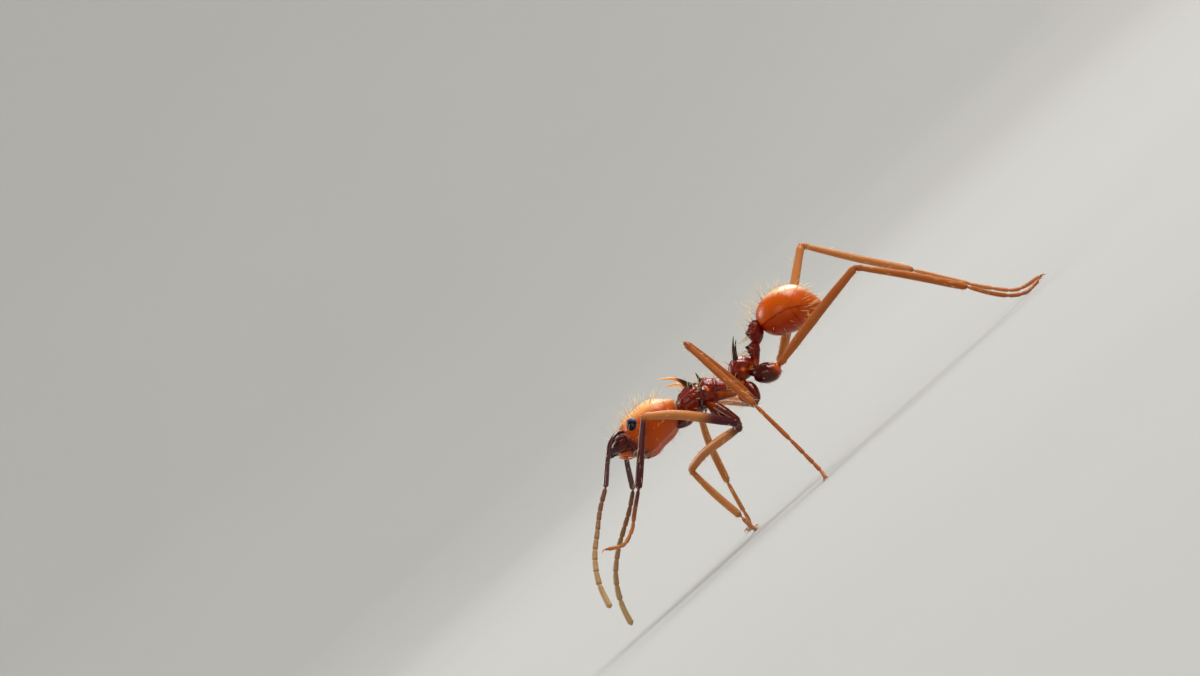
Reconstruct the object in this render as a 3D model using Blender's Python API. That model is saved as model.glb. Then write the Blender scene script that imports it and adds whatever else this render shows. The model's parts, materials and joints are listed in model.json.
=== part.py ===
"""Leafcutter ant (Atta), a media worker standing with its left fore leg raised.

The ant faces -X, its back is up (+Z) and its left side is at -Y.  The floor is
z = 0 and the origin lies on it, under the middle of the animal.  All sizes in
the tables are millimetres; MM turns them into Blender's metres.

Body plates are spheres drawn out along a table of stations.  Limbs are tapered
tubes, mitred where they meet.  Where two pieces touch, the smaller one is cut
back by its neighbour, so that a thin slit is left between them.
"""
import math

import bmesh
import bpy
import numpy as np
from mathutils import Matrix, Vector

MM = 0.001

# ---------------------------------------------------------------- dimensions
STANCE = (0.05, -1.41, 0)  # moves the tables' middle plane, so the origin is under the middle
BODY_LINE = 4.2            # height of the body's long axis above the floor
BODY_ROLL = -12.0          # degrees about +X: the left side is the higher one
SLIT = 0.035               # gap between neighbouring pieces
LIMB_R = 0.25              # least radius of legs and feelers
FOOT_Z = 0.20              # height of a standing foot's centre line

# Each plate: origin (x, z) in the middle plane, pitch in degrees, the shape of
# its two ends (2 is round, larger is blunter), and its stations
# (x along the plate, height of the centre, half height, half width).
HEAD = dict(
    origin=(-2.88, 4.25), pitch=13.7, ends=(3.0, 5.0), size=(24, 16),
    stations=[(-2.02, -0.10, 0.50, 0.68), (-1.81, -0.08, 0.57, 0.80), (-1.60, -0.05, 0.65, 0.90),
              (-1.39, -0.05, 0.73, 0.99), (-1.08, 0.00, 0.77, 1.08), (-0.78, 0.09, 0.74, 1.12),
              (-0.54, 0.13, 0.71, 1.10), (-0.19, 0.16, 0.59, 1.02), (0.17, 0.29, 0.42, 0.86)])
VERTEX_NOTCH = dict(depth=0.26, half_width=0.36, start=-0.45)

PRONOTUM = dict(
    origin=(-2.86, 4.31), pitch=15.3, ends=(2.2, 9.0), size=(16, 11),
    stations=[(-0.28, -0.30, 0.26, 0.26), (-0.10, -0.19, 0.38, 0.36), (0.15, -0.08, 0.43, 0.45),
              (0.27, -0.02, 0.47, 0.50), (0.50, 0.09, 0.48, 0.56), (0.75, 0.17, 0.49, 0.57),
              (1.02, 0.18, 0.46, 0.50)])
MESOTHORAX = dict(
    origin=(-2.86, 4.31), pitch=15.3, ends=(6.0, 2.6), size=(16, 9),
    stations=[(0.80, 0.17, 0.36, 0.42), (1.10, 0.17, 0.44, 0.45), (1.28, 0.17, 0.40, 0.42),
              (1.44, 0.13, 0.38, 0.40), (1.60, 0.07, 0.37, 0.38), (1.98, -0.06, 0.33, 0.37),
              (2.18, -0.14, 0.30, 0.36)])
PROPODEUM = dict(
    origin=(-1.31, 3.98), pitch=7.8, ends=(3.0, 2.4), size=(16, 9),
    stations=[(0.38, 0.12, 0.32, 0.32), (0.60, 0.17, 0.36, 0.36), (0.80, 0.18, 0.40, 0.38),
              (0.98, 0.16, 0.37, 0.36), (1.24, 0.11, 0.30, 0.30)])
PETIOLE = dict(
    origin=(-0.06, 3.88), pitch=-44.3, ends=(4.0, 4.0), size=(12, 8),
    stations=[(-0.16, 0.00, 0.12, 0.14), (0.10, 0.02, 0.14, 0.15), (0.28, 0.05, 0.17, 0.19),
              (0.45, 0.09, 0.22, 0.22), (0.64, 0.03, 0.14, 0.17)])
POSTPETIOLE = dict(
    origin=(0.37, 4.30), pitch=-49.0, ends=(3.0, 5.0), size=(14, 9),
    stations=[(-0.04, 0.00, 0.13, 0.18), (0.15, 0.03, 0.22, 0.26), (0.28, 0.06, 0.27, 0.31),
              (0.45, 0.04, 0.23, 0.30), (0.66, 0.03, 0.18, 0.24)])
GASTER = dict(
    origin=(0.89, 4.84), pitch=29.3, ends=(2.0, 2.0), size=(20, 13),
    stations=[(-0.05, -0.02, 0.80, 0.86), (0.20, -0.01, 0.79, 0.84), (0.45, 0.01, 0.76, 0.83),
              (0.78, 0.06, 0.73, 0.82), (1.12, 0.09, 0.71, 0.80), (1.44, 0.11, 0.64, 0.72),
              (1.71, 0.09, 0.50, 0.56), (1.98, 0.06, 0.36, 0.40)])

# Spines of the left side, in the unrolled body frame (x, y, z, radius); the
# right side is their mirror image.
PRONOTAL_SPINE = [(-1.98, -0.34, 4.62, 0.14), (-2.06, -0.40, 4.82, 0.11), (-2.17, -0.52, 5.00, 0.075),
                  (-2.33, -0.62, 5.17, 0.05), (-2.58, -0.70, 5.33, 0.02)]
MESONOTAL_TOOTH = [(-1.66, -0.18, 4.48, 0.09), (-1.63, -0.20, 4.66, 0.06), (-1.60, -0.22, 4.83, 0.02)]
PROPODEAL_SPINE = [(-0.50, -0.19, 4.26, 0.13), (-0.38, -0.23, 4.46, 0.10), (-0.25, -0.27, 4.62, 0.05),
                   (-0.03, -0.33, 4.87, 0.02)]

# In the head's own frame.
EYE = dict(centre=(-1.26, 0.89, 0.22), half=(0.165, 0.11, 0.20), turn=-16.0)
MANDIBLE = dict(hinge=(-1.72, 0.06, -0.26), thickness=0.24, roll=-34.0, pitch=12.0,
                outer=[(0.00, 0.62), (0.26, 0.60), (0.50, 0.47), (0.66, 0.26)],
                tip=(0.74, 0.01), inner=(0.30, 0.03), teeth=5, tooth=0.05)
MOUTHPARTS = dict(
    ends=(2.0, 2.0), size=(10, 7),
    stations=[(-2.16, -0.34, 0.08, 0.16), (-1.95, -0.42, 0.11, 0.22), (-1.70, -0.50, 0.12, 0.24),
              (-1.45, -0.58, 0.10, 0.20)])

# Limbs: joint positions on the floor's axes, from the body outward.
LEGS = {
    "front_left": dict(
        coxa=[(-1.92, -0.30, 3.86), (-1.76, -0.44, 3.34), (-1.62, -0.60, 2.84)],
        femur=[(-1.62, -0.60, 2.84), (-2.25, -0.90, 3.62), (-2.95, -1.15, 4.38), (-3.57, -1.38, 4.86)],
        tibia=[(-3.57, -1.38, 4.86), (-4.20, -1.36, 4.20), (-5.18, -1.18, 3.36)],
        tarsus=[(-5.18, -1.18, 3.36), (-5.73, -1.10, 2.96), (-6.16, -1.02, 2.60), (-6.60, -0.96, 2.44),
                (-7.08, -0.90, 2.66)]),
    "front_right": dict(
        coxa=[(-1.93, 0.30, 3.80), (-1.78, 0.44, 3.26), (-1.64, 0.60, 2.72)],
        femur=[(-1.64, 0.60, 2.72), (-2.35, 1.25, 2.80), (-3.05, 1.86, 2.82), (-3.66, 2.40, 2.70)],
        tibia=[(-3.66, 2.40, 2.70), (-3.60, 2.08, 1.80), (-3.44, 1.62, 0.66)],
        tarsus=[(-3.44, 1.62, 0.66), (-3.42, 2.15, 0.36), (-3.38, 2.75, FOOT_Z), (-3.32, 3.75, FOOT_Z)]),
    "mid_left": dict(
        coxa=[(-0.72, -0.22, 3.62), (-0.70, -0.42, 3.32), (-0.84, -0.62, 2.96)],
        femur=[(-0.84, -0.62, 2.96), (-0.95, -1.25, 3.88), (-1.12, -1.95, 4.92), (-1.27, -2.55, 5.72)],
        tibia=[(-1.27, -2.55, 5.72), (-1.12, -2.75, 4.40), (-0.94, -2.90, 3.00)],
        tarsus=[(-0.94, -2.90, 3.00), (-0.86, -3.00, 1.90), (-0.80, -3.14, 0.90), (-0.78, -3.40, 0.34),
                (-0.82, -3.85, FOOT_Z)]),
    "mid_right": dict(
        coxa=[(-0.98, 0.22, 3.56), (-0.92, 0.42, 3.24), (-0.84, 0.62, 2.92)],
        femur=[(-0.84, 0.62, 2.92), (-1.25, 1.50, 3.40), (-1.70, 2.35, 3.82), (-2.14, 3.20, 4.10)],
        tibia=[(-2.14, 3.20, 4.10), (-2.62, 3.95, 3.08), (-3.06, 4.70, 1.60)],
        tarsus=[(-3.06, 4.70, 1.60), (-3.22, 5.15, 0.92), (-3.34, 5.60, 0.40), (-3.44, 6.05, FOOT_Z),
                (-3.56, 6.70, FOOT_Z)]),
    "hind_left": dict(
        coxa=[(-0.32, -0.28, 3.70), (-0.08, -0.46, 3.49), (0.16, -0.56, 3.38), (0.44, -0.62, 3.38)],
        femur=[(0.44, -0.62, 3.38), (1.60, -0.96, 3.64), (2.85, -1.32, 3.88), (4.02, -1.62, 4.08)],
        tibia=[(4.02, -1.62, 4.08), (4.90, -1.42, 3.04), (6.17, -1.00, 1.40)],
        tarsus=[(6.17, -1.00, 1.40), (6.62, -0.62, 0.80), (7.05, -0.10, 0.40), (7.50, 0.55, FOOT_Z),
                (7.98, 1.30, FOOT_Z)]),
    "hind_right": dict(
        coxa=[(-0.30, 0.28, 3.66), (-0.06, 0.46, 3.45), (0.18, 0.56, 3.35), (0.48, 0.64, 3.38)],
        femur=[(0.48, 0.64, 3.38), (1.18, 1.02, 3.86), (2.30, 1.62, 4.76), (3.37, 2.20, 5.60)],
        tibia=[(3.37, 2.20, 5.60), (4.20, 2.28, 4.42), (5.44, 2.40, 2.76)],
        tarsus=[(5.44, 2.40, 2.76), (6.20, 2.46, 1.66), (6.85, 2.50, 0.84), (7.40, 2.54, 0.36),
                (8.22, 2.62, FOOT_Z)]),
}
COXA_R = {"front": (0.27, 0.27, 0.25), "mid": (0.26, 0.29, 0.25), "hind": (0.28, 0.36, 0.36, 0.26)}
RAISED = {"front_left"}

ANTENNAE = {
    "left": dict(
        scape=[(-4.30, -0.38, 4.90), (-4.60, -0.62, 5.08), (-4.95, -0.78, 5.06), (-5.36, -0.90, 4.76),
               (-5.94, -1.02, 4.10)],
        funiculus=[(-5.94, -1.02, 4.10), (-6.44, -1.30, 3.70), (-6.92, -1.64, 3.28), (-7.50, -2.10, 2.74),
                   (-7.90, -2.50, 2.10), (-8.12, -2.82, 1.34)]),
    "right": dict(
        scape=[(-4.30, 0.42, 4.82), (-4.52, 0.86, 4.74), (-4.82, 1.18, 4.36), (-5.36, 1.40, 3.42)],
        funiculus=[(-5.36, 1.40, 3.42), (-5.88, 1.32, 3.02), (-6.36, 1.18, 2.72), (-6.88, 1.02, 2.38),
                   (-7.46, 0.84, 1.84), (-7.90, 0.66, 1.04), (-8.06, 0.52, 0.42)]),
}

COLOURS = {
    "head": ((0.342, 0.034, 0.001), 0.22), "eye": ((0.002, 0.001, 0.003), 0.08),
    "mandible": ((0.070, 0.010, 0.010), 0.25), "mouthparts": ((0.400, 0.045, 0.004), 0.35),
    "thorax": ((0.150, 0.010, 0.003), 0.28), "gaster": ((0.350, 0.030, 0.001), 0.15),
    "coxa": ((0.090, 0.007, 0.005), 0.22), "leg": ((0.260, 0.052, 0.015), 0.30),
    "antenna": ((0.240, 0.110, 0.040), 0.40),
}


# ------------------------------------------------------------------- helpers
def clear_scene():
    for obj in list(bpy.data.objects):
        bpy.data.objects.remove(obj, do_unlink=True)


def collection(name):
    coll = bpy.data.collections.new(name)
    bpy.context.scene.collection.children.link(coll)
    return coll


def material(kind, name):
    (colour, rough) = COLOURS[kind]
    mat = bpy.data.materials.new(name)
    mat.use_nodes = True
    bsdf = mat.node_tree.nodes["Principled BSDF"]
    bsdf.inputs["Base Color"].default_value = (*colour, 1.0)
    bsdf.inputs["Roughness"].default_value = rough
    bsdf.inputs["Metallic"].default_value = 0.0
    return mat


def new_object(name, bm, kind, parent=None):
    """A smooth-shaded object of its own material, made from a bmesh.

    It hangs on the ant's own empty, or on the rolled body line.
    """
    bmesh.ops.recalc_face_normals(bm, faces=bm.faces)
    mesh = bpy.data.meshes.new(name)
    bm.to_mesh(mesh)
    bm.free()
    mesh.shade_smooth()
    mesh.set_sharp_from_angle(angle=math.radians(50))
    mesh.materials.append(material(kind, name))
    obj = bpy.data.objects.new(name, mesh)
    ANT.objects.link(obj)
    obj.parent = parent or STAND
    return obj


def empty(name, location, rotation=(0, 0, 0), parent=None):
    obj = bpy.data.objects.new(name, None)
    obj.location = [v * MM for v in location]
    obj.rotation_euler = [math.radians(v) for v in rotation]
    obj.parent = parent
    ANT.objects.link(obj)
    return obj


def evaluated_bmesh(obj):
    """The object's final mesh, in the object's own axes."""
    bpy.context.view_layer.update()
    mesh = bpy.data.meshes.new_from_object(obj.evaluated_get(bpy.context.evaluated_depsgraph_get()))
    bm = bmesh.new()
    bm.from_mesh(mesh)
    bpy.data.meshes.remove(mesh)
    bmesh.ops.remove_doubles(bm, verts=bm.verts, dist=1e-7)
    return bm


def smooth_table(table, x):
    """Read a table of stations at x, along a smooth curve through them."""
    table = np.array(table, float)
    xs = table[:, 0]
    i = int(np.clip(np.searchsorted(xs, x) - 1, 0, len(xs) - 2))
    t = (x - xs[i]) / (xs[i + 1] - xs[i])
    slope = np.gradient(table[:, 1:], xs, axis=0)
    h = xs[i + 1] - xs[i]
    a, b = table[i, 1:], table[i + 1, 1:]
    return (a * (2 * t**3 - 3 * t**2 + 1) + b * (3 * t**2 - 2 * t**3)
            + h * slope[i] * (t**3 - 2 * t**2 + t) + h * slope[i + 1] * (t**3 - t**2))


def plate_bmesh(stations, ends, size):
    """A sphere drawn out along X to the sections that the stations give."""
    segments, rings = size
    bm = bmesh.new()
    bmesh.ops.create_uvsphere(bm, u_segments=segments, v_segments=rings, radius=1.0,
                              matrix=Matrix.Rotation(math.radians(90), 4, "Y"))
    start, stop = stations[0][0], stations[-1][0]
    for vert in bm.verts:
        t = max(-1.0, min(1.0, vert.co.x))
        ring = math.hypot(vert.co.y, vert.co.z)
        x = start + (stop - start) * (1 + t) / 2
        centre, high, wide = smooth_table(stations, x)
        power = ends[0] if t < 0 else ends[1]
        cap = (1 - abs(t) ** power) ** (1 / power) if ring > 1e-4 else 0.0
        unit = (vert.co.y / ring, vert.co.z / ring) if ring > 1e-4 else (0.0, 0.0)
        vert.co = (x, wide * cap * unit[0], centre + high * cap * unit[1])
    return bm


def place(obj, spec):
    obj.location = (spec["origin"][0] * MM, 0.0, (spec["origin"][1] - BODY_LINE) * MM)
    obj.rotation_euler = (0.0, math.radians(spec["pitch"]), 0.0)


def plate(name, kind, spec, shape=None):
    """One plate of the body, set on the rolled body line."""
    bm = plate_bmesh(spec["stations"], spec["ends"], spec["size"])
    if shape:
        shape(bm)
    bmesh.ops.scale(bm, vec=(MM, MM, MM), verts=bm.verts)
    obj = new_object(name, bm, kind, BODY)
    place(obj, spec)
    return obj


def tube_bmesh(points, radii):
    """A closed tube through the points (mm), as a bevelled poly curve."""
    curve = bpy.data.curves.new("tube", "CURVE")
    curve.dimensions = "3D"
    curve.bevel_depth = MM
    curve.bevel_resolution = 2
    curve.use_fill_caps = True
    spline = curve.splines.new("POLY")
    spline.points.add(len(points) - 1)
    for point, co, radius in zip(spline.points, points, radii):
        point.co = (*(v * MM for v in co), 1.0)
        point.radius = radius
    guide = bpy.data.objects.new("tube", curve)
    bpy.context.scene.collection.objects.link(guide)
    bm = evaluated_bmesh(guide)
    bpy.data.objects.remove(guide, do_unlink=True)
    bpy.data.curves.remove(curve)
    return bm


def trim(bm, point, normal):
    """Cut away what lies beyond the plane, and close the cut."""
    geom = list(bm.verts) + list(bm.edges) + list(bm.faces)
    cut = bmesh.ops.bisect_plane(bm, geom=geom, dist=1e-8, plane_co=point, plane_no=normal,
                                 clear_outer=True)["geom_cut"]
    edges = [item for item in cut if isinstance(item, bmesh.types.BMEdge)]
    bmesh.ops.contextual_create(bm, geom=edges)


def cutter(obj, gap):
    """A hidden copy of a piece, grown by the gap, to cut its neighbours with."""
    bm = evaluated_bmesh(obj)
    bm.normal_update()
    for vert, normal in [(v, v.normal.copy()) for v in bm.verts]:
        vert.co += normal * gap * MM
    mesh = bpy.data.meshes.new(obj.name + "_cutter")
    bm.to_mesh(mesh)
    bm.free()
    tool = bpy.data.objects.new(mesh.name, mesh)
    CUTTERS.objects.link(tool)
    tool.matrix_world = obj.matrix_world
    tool.hide_render = True
    tool.display_type = "WIRE"
    return tool


def boolean(obj, tool, operation):
    mod = obj.modifiers.new(operation.lower(), "BOOLEAN")
    mod.operation = operation
    mod.solver = "EXACT"
    mod.object = tool


def seat(obj, *neighbours):
    """Cut a piece back so that it stops a slit short of its neighbours."""
    for other in neighbours:
        boolean(obj, cutter(other, SLIT), "DIFFERENCE")


def join(obj, bm, name):
    """Unite a spine or tooth, given as a world-space bmesh, with its plate."""
    mesh = bpy.data.meshes.new(name)
    bm.to_mesh(mesh)
    bm.free()
    tool = bpy.data.objects.new(name, mesh)
    CUTTERS.objects.link(tool)
    tool.parent = BODY
    tool.hide_render = True
    tool.display_type = "WIRE"
    boolean(obj, tool, "UNION")


def spine_pair(obj, table):
    """A left spine and its mirror image, grown out of a plate."""
    for side in (1, -1):
        points = [(x, y * side, z - BODY_LINE) for x, y, z, _ in table]
        bm = tube_bmesh(points, [row[3] for row in table])
        bmesh.ops.recalc_face_normals(bm, faces=bm.faces)
        join(obj, bm, obj.name + "_spine_tool")


# ---------------------------------------------------------------------- body
def notch_vertex(bm):
    """The two rear lobes of the head, either side of a shallow notch."""
    for vert in bm.verts:
        depth = max(0.0, vert.co.x - VERTEX_NOTCH["start"])
        across = math.exp(-(vert.co.y / VERTEX_NOTCH["half_width"]) ** 2)
        reach = HEAD["stations"][-1][0] - VERTEX_NOTCH["start"]
        vert.co.x -= VERTEX_NOTCH["depth"] * across * (depth / reach) ** 2


def build_head():
    head = plate("head", "head", HEAD, notch_vertex)
    eyes = []
    for side, sign in (("left", -1), ("right", 1)):
        bm = bmesh.new()
        bmesh.ops.create_uvsphere(bm, u_segments=12, v_segments=7, radius=1.0)
        bmesh.ops.scale(bm, vec=[v * MM for v in EYE["half"]], verts=bm.verts)
        eye = new_object("eye_" + side, bm, "eye", BODY)
        frame = head.matrix_basis
        x, y, z = EYE["centre"]
        turn = Matrix.Rotation(math.radians(EYE["turn"] * -sign), 4, "Z")
        eye.matrix_basis = frame @ Matrix.Translation((x * MM, y * sign * MM, z * MM)) @ turn
        eyes.append(eye)
    seat(head, *eyes)
    return head, eyes


def mandible_outline(spec):
    """Outer edge, tip, toothed inner edge and hinge of a mandible."""
    tip, inner = Vector(spec["tip"]), Vector(spec["inner"])
    points = [Vector(p) for p in spec["outer"]] + [tip]
    along = (inner - tip) / spec["teeth"]
    out = Vector((-along.y, along.x)).normalized() * spec["tooth"]
    for i in range(spec["teeth"]):
        points += [tip + along * (i + 0.35) - out * 0.4, tip + along * (i + 0.8) + out * 0.6]
    return points + [inner, Vector((0.0, 0.12))]


def build_mandible(side, sign, head):
    """A flat toothed blade, rolled so that its outer edge hangs lower."""
    curve = bpy.data.curves.new("mandible", "CURVE")
    curve.dimensions = "2D"
    curve.fill_mode = "BOTH"
    curve.extrude = MANDIBLE["thickness"] / 2 * MM
    spline = curve.splines.new("POLY")
    outline = mandible_outline(MANDIBLE)
    spline.points.add(len(outline) - 1)
    for point, co in zip(spline.points, outline):
        point.co = (-co.x * MM, co.y * sign * MM, 0.0, 1.0)
    spline.use_cyclic_u = True
    guide = bpy.data.objects.new("mandible", curve)
    bpy.context.scene.collection.objects.link(guide)
    bm = evaluated_bmesh(guide)
    bpy.data.objects.remove(guide, do_unlink=True)
    obj = new_object("mandible_" + side, bm, "mandible", BODY)
    x, y, z = MANDIBLE["hinge"]
    roll = Matrix.Rotation(math.radians(-MANDIBLE["roll"] * sign), 4, "X")
    pitch = Matrix.Rotation(math.radians(MANDIBLE["pitch"]), 4, "Y")
    spot = Matrix.Translation((x * MM, y * sign * MM, z * MM))
    obj.matrix_basis = head.matrix_basis @ spot @ pitch @ roll
    seat(obj, head)
    return obj


def build_mouthparts(head, mandibles):
    bm = plate_bmesh(MOUTHPARTS["stations"], MOUTHPARTS["ends"], MOUTHPARTS["size"])
    bmesh.ops.scale(bm, vec=(MM, MM, MM), verts=bm.verts)
    obj = new_object("mouthparts", bm, "mouthparts", BODY)
    obj.matrix_basis = head.matrix_basis
    seat(obj, head, *mandibles)
    return obj


def build_trunk(head):
    pronotum = plate("pronotum", "thorax", PRONOTUM)
    spine_pair(pronotum, PRONOTAL_SPINE)
    seat(pronotum, head)
    mesothorax = plate("mesothorax", "thorax", MESOTHORAX)
    spine_pair(mesothorax, MESONOTAL_TOOTH)
    seat(mesothorax, pronotum)
    propodeum = plate("propodeum", "thorax", PROPODEUM)
    spine_pair(propodeum, PROPODEAL_SPINE)
    seat(propodeum, mesothorax)
    petiole = plate("petiole", "thorax", PETIOLE)
    seat(petiole, propodeum)
    postpetiole = plate("postpetiole", "thorax", POSTPETIOLE)
    seat(postpetiole, petiole)
    gaster = plate("gaster", "gaster", GASTER)
    seat(gaster, postpetiole)
    return [pronotum, mesothorax, propodeum, petiole, postpetiole, gaster]


# --------------------------------------------------------------------- limbs
def overshoot(inward, outward):
    """How far a tube runs past its joint, to fill the mitre's outer corner."""
    bend = inward.angle(outward)
    return min(LIMB_R * math.tan(bend / 2), 0.9 * LIMB_R)


def limb_piece(name, kind, points, radii, before=None, after=None, floor=False):
    """A tube between two joints, mitred against its neighbours on each side.

    before and after are the neighbours' directions away from the shared joint.
    """
    pts = [Vector(p) for p in points]
    first, last = pts[0].copy(), pts[-1].copy()
    out0, out1 = (pts[1] - pts[0]).normalized(), (pts[-2] - pts[-1]).normalized()
    if before is not None:
        pts[0] = first - out0 * overshoot(-before, out0)
    if after is not None:
        pts[-1] = last - out1 * overshoot(-out1, after)
    bm = tube_bmesh(pts, radii)
    for joint, mine, other in ((first, out0, before), (last, out1, after)):
        if other is not None:
            normal = (other - mine).normalized()
            trim(bm, (joint - normal * SLIT / 2) * MM, normal)
    if floor:
        trim(bm, Vector((0, 0, 0)), Vector((0, 0, -1)))
    bmesh.ops.translate(bm, vec=-first * MM, verts=bm.verts)
    obj = new_object(name, bm, kind)
    obj.location = first * MM
    return obj


def direction(points, end):
    pair = (points[0], points[1]) if end == 0 else (points[-1], points[-2])
    return (Vector(pair[1]) - Vector(pair[0])).normalized()


def build_chain(prefix, kinds, chain, radii, floor):
    """The pieces of one limb, in order from the body outward."""
    names = list(chain)
    pieces = []
    for i, name in enumerate(names):
        before = direction(chain[names[i - 1]], -1) if i else None
        after = direction(chain[names[i + 1]], 0) if i + 1 < len(names) else None
        pieces.append(limb_piece(f"{prefix}_{name}", kinds[name], chain[name], radii[name],
                                 before, after, floor and i + 1 == len(names)))
    return pieces


def build_legs(trunk):
    kinds = {"coxa": "coxa", "femur": "leg", "tibia": "leg", "tarsus": "leg"}
    for leg, chain in LEGS.items():
        radii = {part: [LIMB_R] * len(points) for part, points in chain.items()}
        radii["coxa"] = COXA_R[leg.split("_")[0]]
        radii["femur"] = [LIMB_R, LIMB_R + 0.02, LIMB_R + 0.01, LIMB_R]
        pieces = build_chain(leg, kinds, chain, radii, leg not in RAISED)
        seat(pieces[0], *trunk[:3])


def build_antennae(head):
    for side, chain in ANTENNAE.items():
        radii = {part: [LIMB_R] * len(points) for part, points in chain.items()}
        pieces = build_chain("antenna_" + side, {"scape": "antenna", "funiculus": "antenna"},
                             chain, radii, False)
        seat(pieces[0], head)


clear_scene()
ANT = collection("leafcutter_ant")
CUTTERS = collection("cutters")
STAND = empty("ant", STANCE)
BODY = empty("body_line", (0, 0, BODY_LINE), (BODY_ROLL, 0, 0), STAND)
head_plate, eye_pair = build_head()
mandible_pair = [build_mandible(side, sign, head_plate) for side, sign in (("left", -1), ("right", 1))]
build_mouthparts(head_plate, mandible_pair)
trunk_plates = build_trunk(head_plate)
build_legs(trunk_plates)
build_antennae(head_plate)
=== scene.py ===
# %% [markdown]
# # A leafcutter worker ant, life size
# The ant is a hard-shelled animal: its outside is a suit of cuticle plates, and each plate is one smooth
# hollow shape with seams, ridges and spines. Blender can make such plates by sculpting, by subdivision or
# by stretching simple balls ring by ring. The last is used here, because every plate then keeps to its
# named sizes.
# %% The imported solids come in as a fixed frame
import json
import math
import bmesh
import bpy
import numpy as np
from mathutils import Matrix, Vector

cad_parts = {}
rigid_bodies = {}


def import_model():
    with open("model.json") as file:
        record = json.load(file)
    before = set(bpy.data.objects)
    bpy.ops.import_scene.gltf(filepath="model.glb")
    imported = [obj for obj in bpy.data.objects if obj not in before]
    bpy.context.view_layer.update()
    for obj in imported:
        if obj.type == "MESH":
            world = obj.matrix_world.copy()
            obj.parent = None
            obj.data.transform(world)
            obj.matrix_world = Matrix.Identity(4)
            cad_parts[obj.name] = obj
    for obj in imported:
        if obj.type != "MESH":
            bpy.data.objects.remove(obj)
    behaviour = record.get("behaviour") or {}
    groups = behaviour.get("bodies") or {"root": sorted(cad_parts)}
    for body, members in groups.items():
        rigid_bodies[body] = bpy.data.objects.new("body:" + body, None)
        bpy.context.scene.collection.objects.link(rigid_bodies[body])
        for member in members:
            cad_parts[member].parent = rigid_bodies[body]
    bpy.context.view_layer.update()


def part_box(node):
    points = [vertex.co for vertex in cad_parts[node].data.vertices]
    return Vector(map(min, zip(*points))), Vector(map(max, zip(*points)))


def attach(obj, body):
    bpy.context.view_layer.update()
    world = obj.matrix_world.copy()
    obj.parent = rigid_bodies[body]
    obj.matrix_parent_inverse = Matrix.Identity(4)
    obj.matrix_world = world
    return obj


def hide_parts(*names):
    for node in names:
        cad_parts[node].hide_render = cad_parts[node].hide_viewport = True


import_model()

# %% [markdown]
# ## The workbench
# The ant is 9 mm long, and Blender's tools have least sizes that suit metres. So each piece is modelled in
# millimetres along its own axes, and it is made small and put in place only when it is finished.
# %% Sizes of the stance and the axes of the body
MM = 0.001
STANCE = Matrix.Translation((0.05, -1.41, 0))
BODY_LINE, BODY_ROLL = 4.2, -12.0
BODY = (STANCE @ Matrix.Translation((0, 0, BODY_LINE)) @ Matrix.Rotation(math.radians(BODY_ROLL), 4, "X")
        @ Matrix.Translation((0, 0, -BODY_LINE)))


def axes(origin, pitch):
    """A plate's own axes on the body: origin (x, z) in the middle plane, pitch in degrees."""
    return Matrix.Translation((origin[0], 0, origin[1])) @ Matrix.Rotation(math.radians(pitch), 4, "Y")


HEAD_AXES = axes((-2.88, 4.25), 13.7)
TRUNK_AXES = axes((-2.86, 4.31), 15.3)
PROPODEUM_AXES = axes((-1.31, 3.98), 7.8)
PETIOLE_AXES = axes((-0.06, 3.88), -44.3)
POSTPETIOLE_AXES = axes((0.37, 4.30), -49.0)
GASTER_AXES = axes((0.89, 4.84), 29.3)


# %% Picking pieces and points
def only(obj):
    """Deselect everything, then select this piece and make it active."""
    if bpy.context.object and bpy.context.object.mode != "OBJECT":
        bpy.ops.object.mode_set(mode="OBJECT")
    bpy.ops.object.select_all(action="DESELECT")
    obj.select_set(True)
    bpy.context.view_layer.objects.active = obj
    return obj


def edit(obj, kind="VERT", every=False):
    """Go into edit mode, with nothing selected or everything."""
    only(obj)
    bpy.ops.object.mode_set(mode="EDIT")
    bpy.ops.mesh.select_mode(type=kind)
    bpy.ops.mesh.select_all(action="SELECT" if every else "DESELECT")


def done():
    bpy.ops.object.mode_set(mode="OBJECT")


def mark(obj, wanted):
    """In edit mode, select the points (or faces) at the places for which wanted is true."""
    bpy.ops.mesh.select_all(action="DESELECT")
    bm = bmesh.from_edit_mesh(obj.data)
    by_face = "FACE" in bm.select_mode
    items = bm.faces if by_face else bm.verts
    places = np.array([f.calc_center_median()[:] for f in items] if by_face else [v.co[:] for v in items])
    for item, hit in zip(items, wanted(places)):
        if hit:
            item.select_set(True)
    bm.select_flush_mode()
    bmesh.update_edit_mesh(obj.data)


def nearest(spots):
    """A test for mark: the points that lie nearest to some spots."""
    def wanted(places):
        hit = np.zeros(len(places), bool)
        for spot in spots:
            hit[np.argmin(np.linalg.norm(places - np.array(spot), axis=1))] = True
        return hit
    return wanted


# %% [markdown]
# ## Two sculpting strokes
# A dent or a bump on a plate is a soft pull on one point, and a suture or a ridge is the same pull along a
# line. Proportional editing does both, so the surface stays smooth and closed. A brush would need a hand
# and a window.
# %% Strokes
STEP = 0.03  # the greatest distance between two points of a stroke


def pull(obj, at, by, reach, mirrored=True):
    """Draw the surface near a spot out or in, and do the same on the other side."""
    for side in ((1, -1) if mirrored and abs(at[1]) > 1e-6 else (1,)):
        mark(obj, nearest([(at[0], at[1] * side, at[2])]))
        bpy.ops.transform.translate(value=(by[0], by[1] * side, by[2]), use_proportional_edit=True,
                                    proportional_edit_falloff="SMOOTH", proportional_size=reach)


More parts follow.
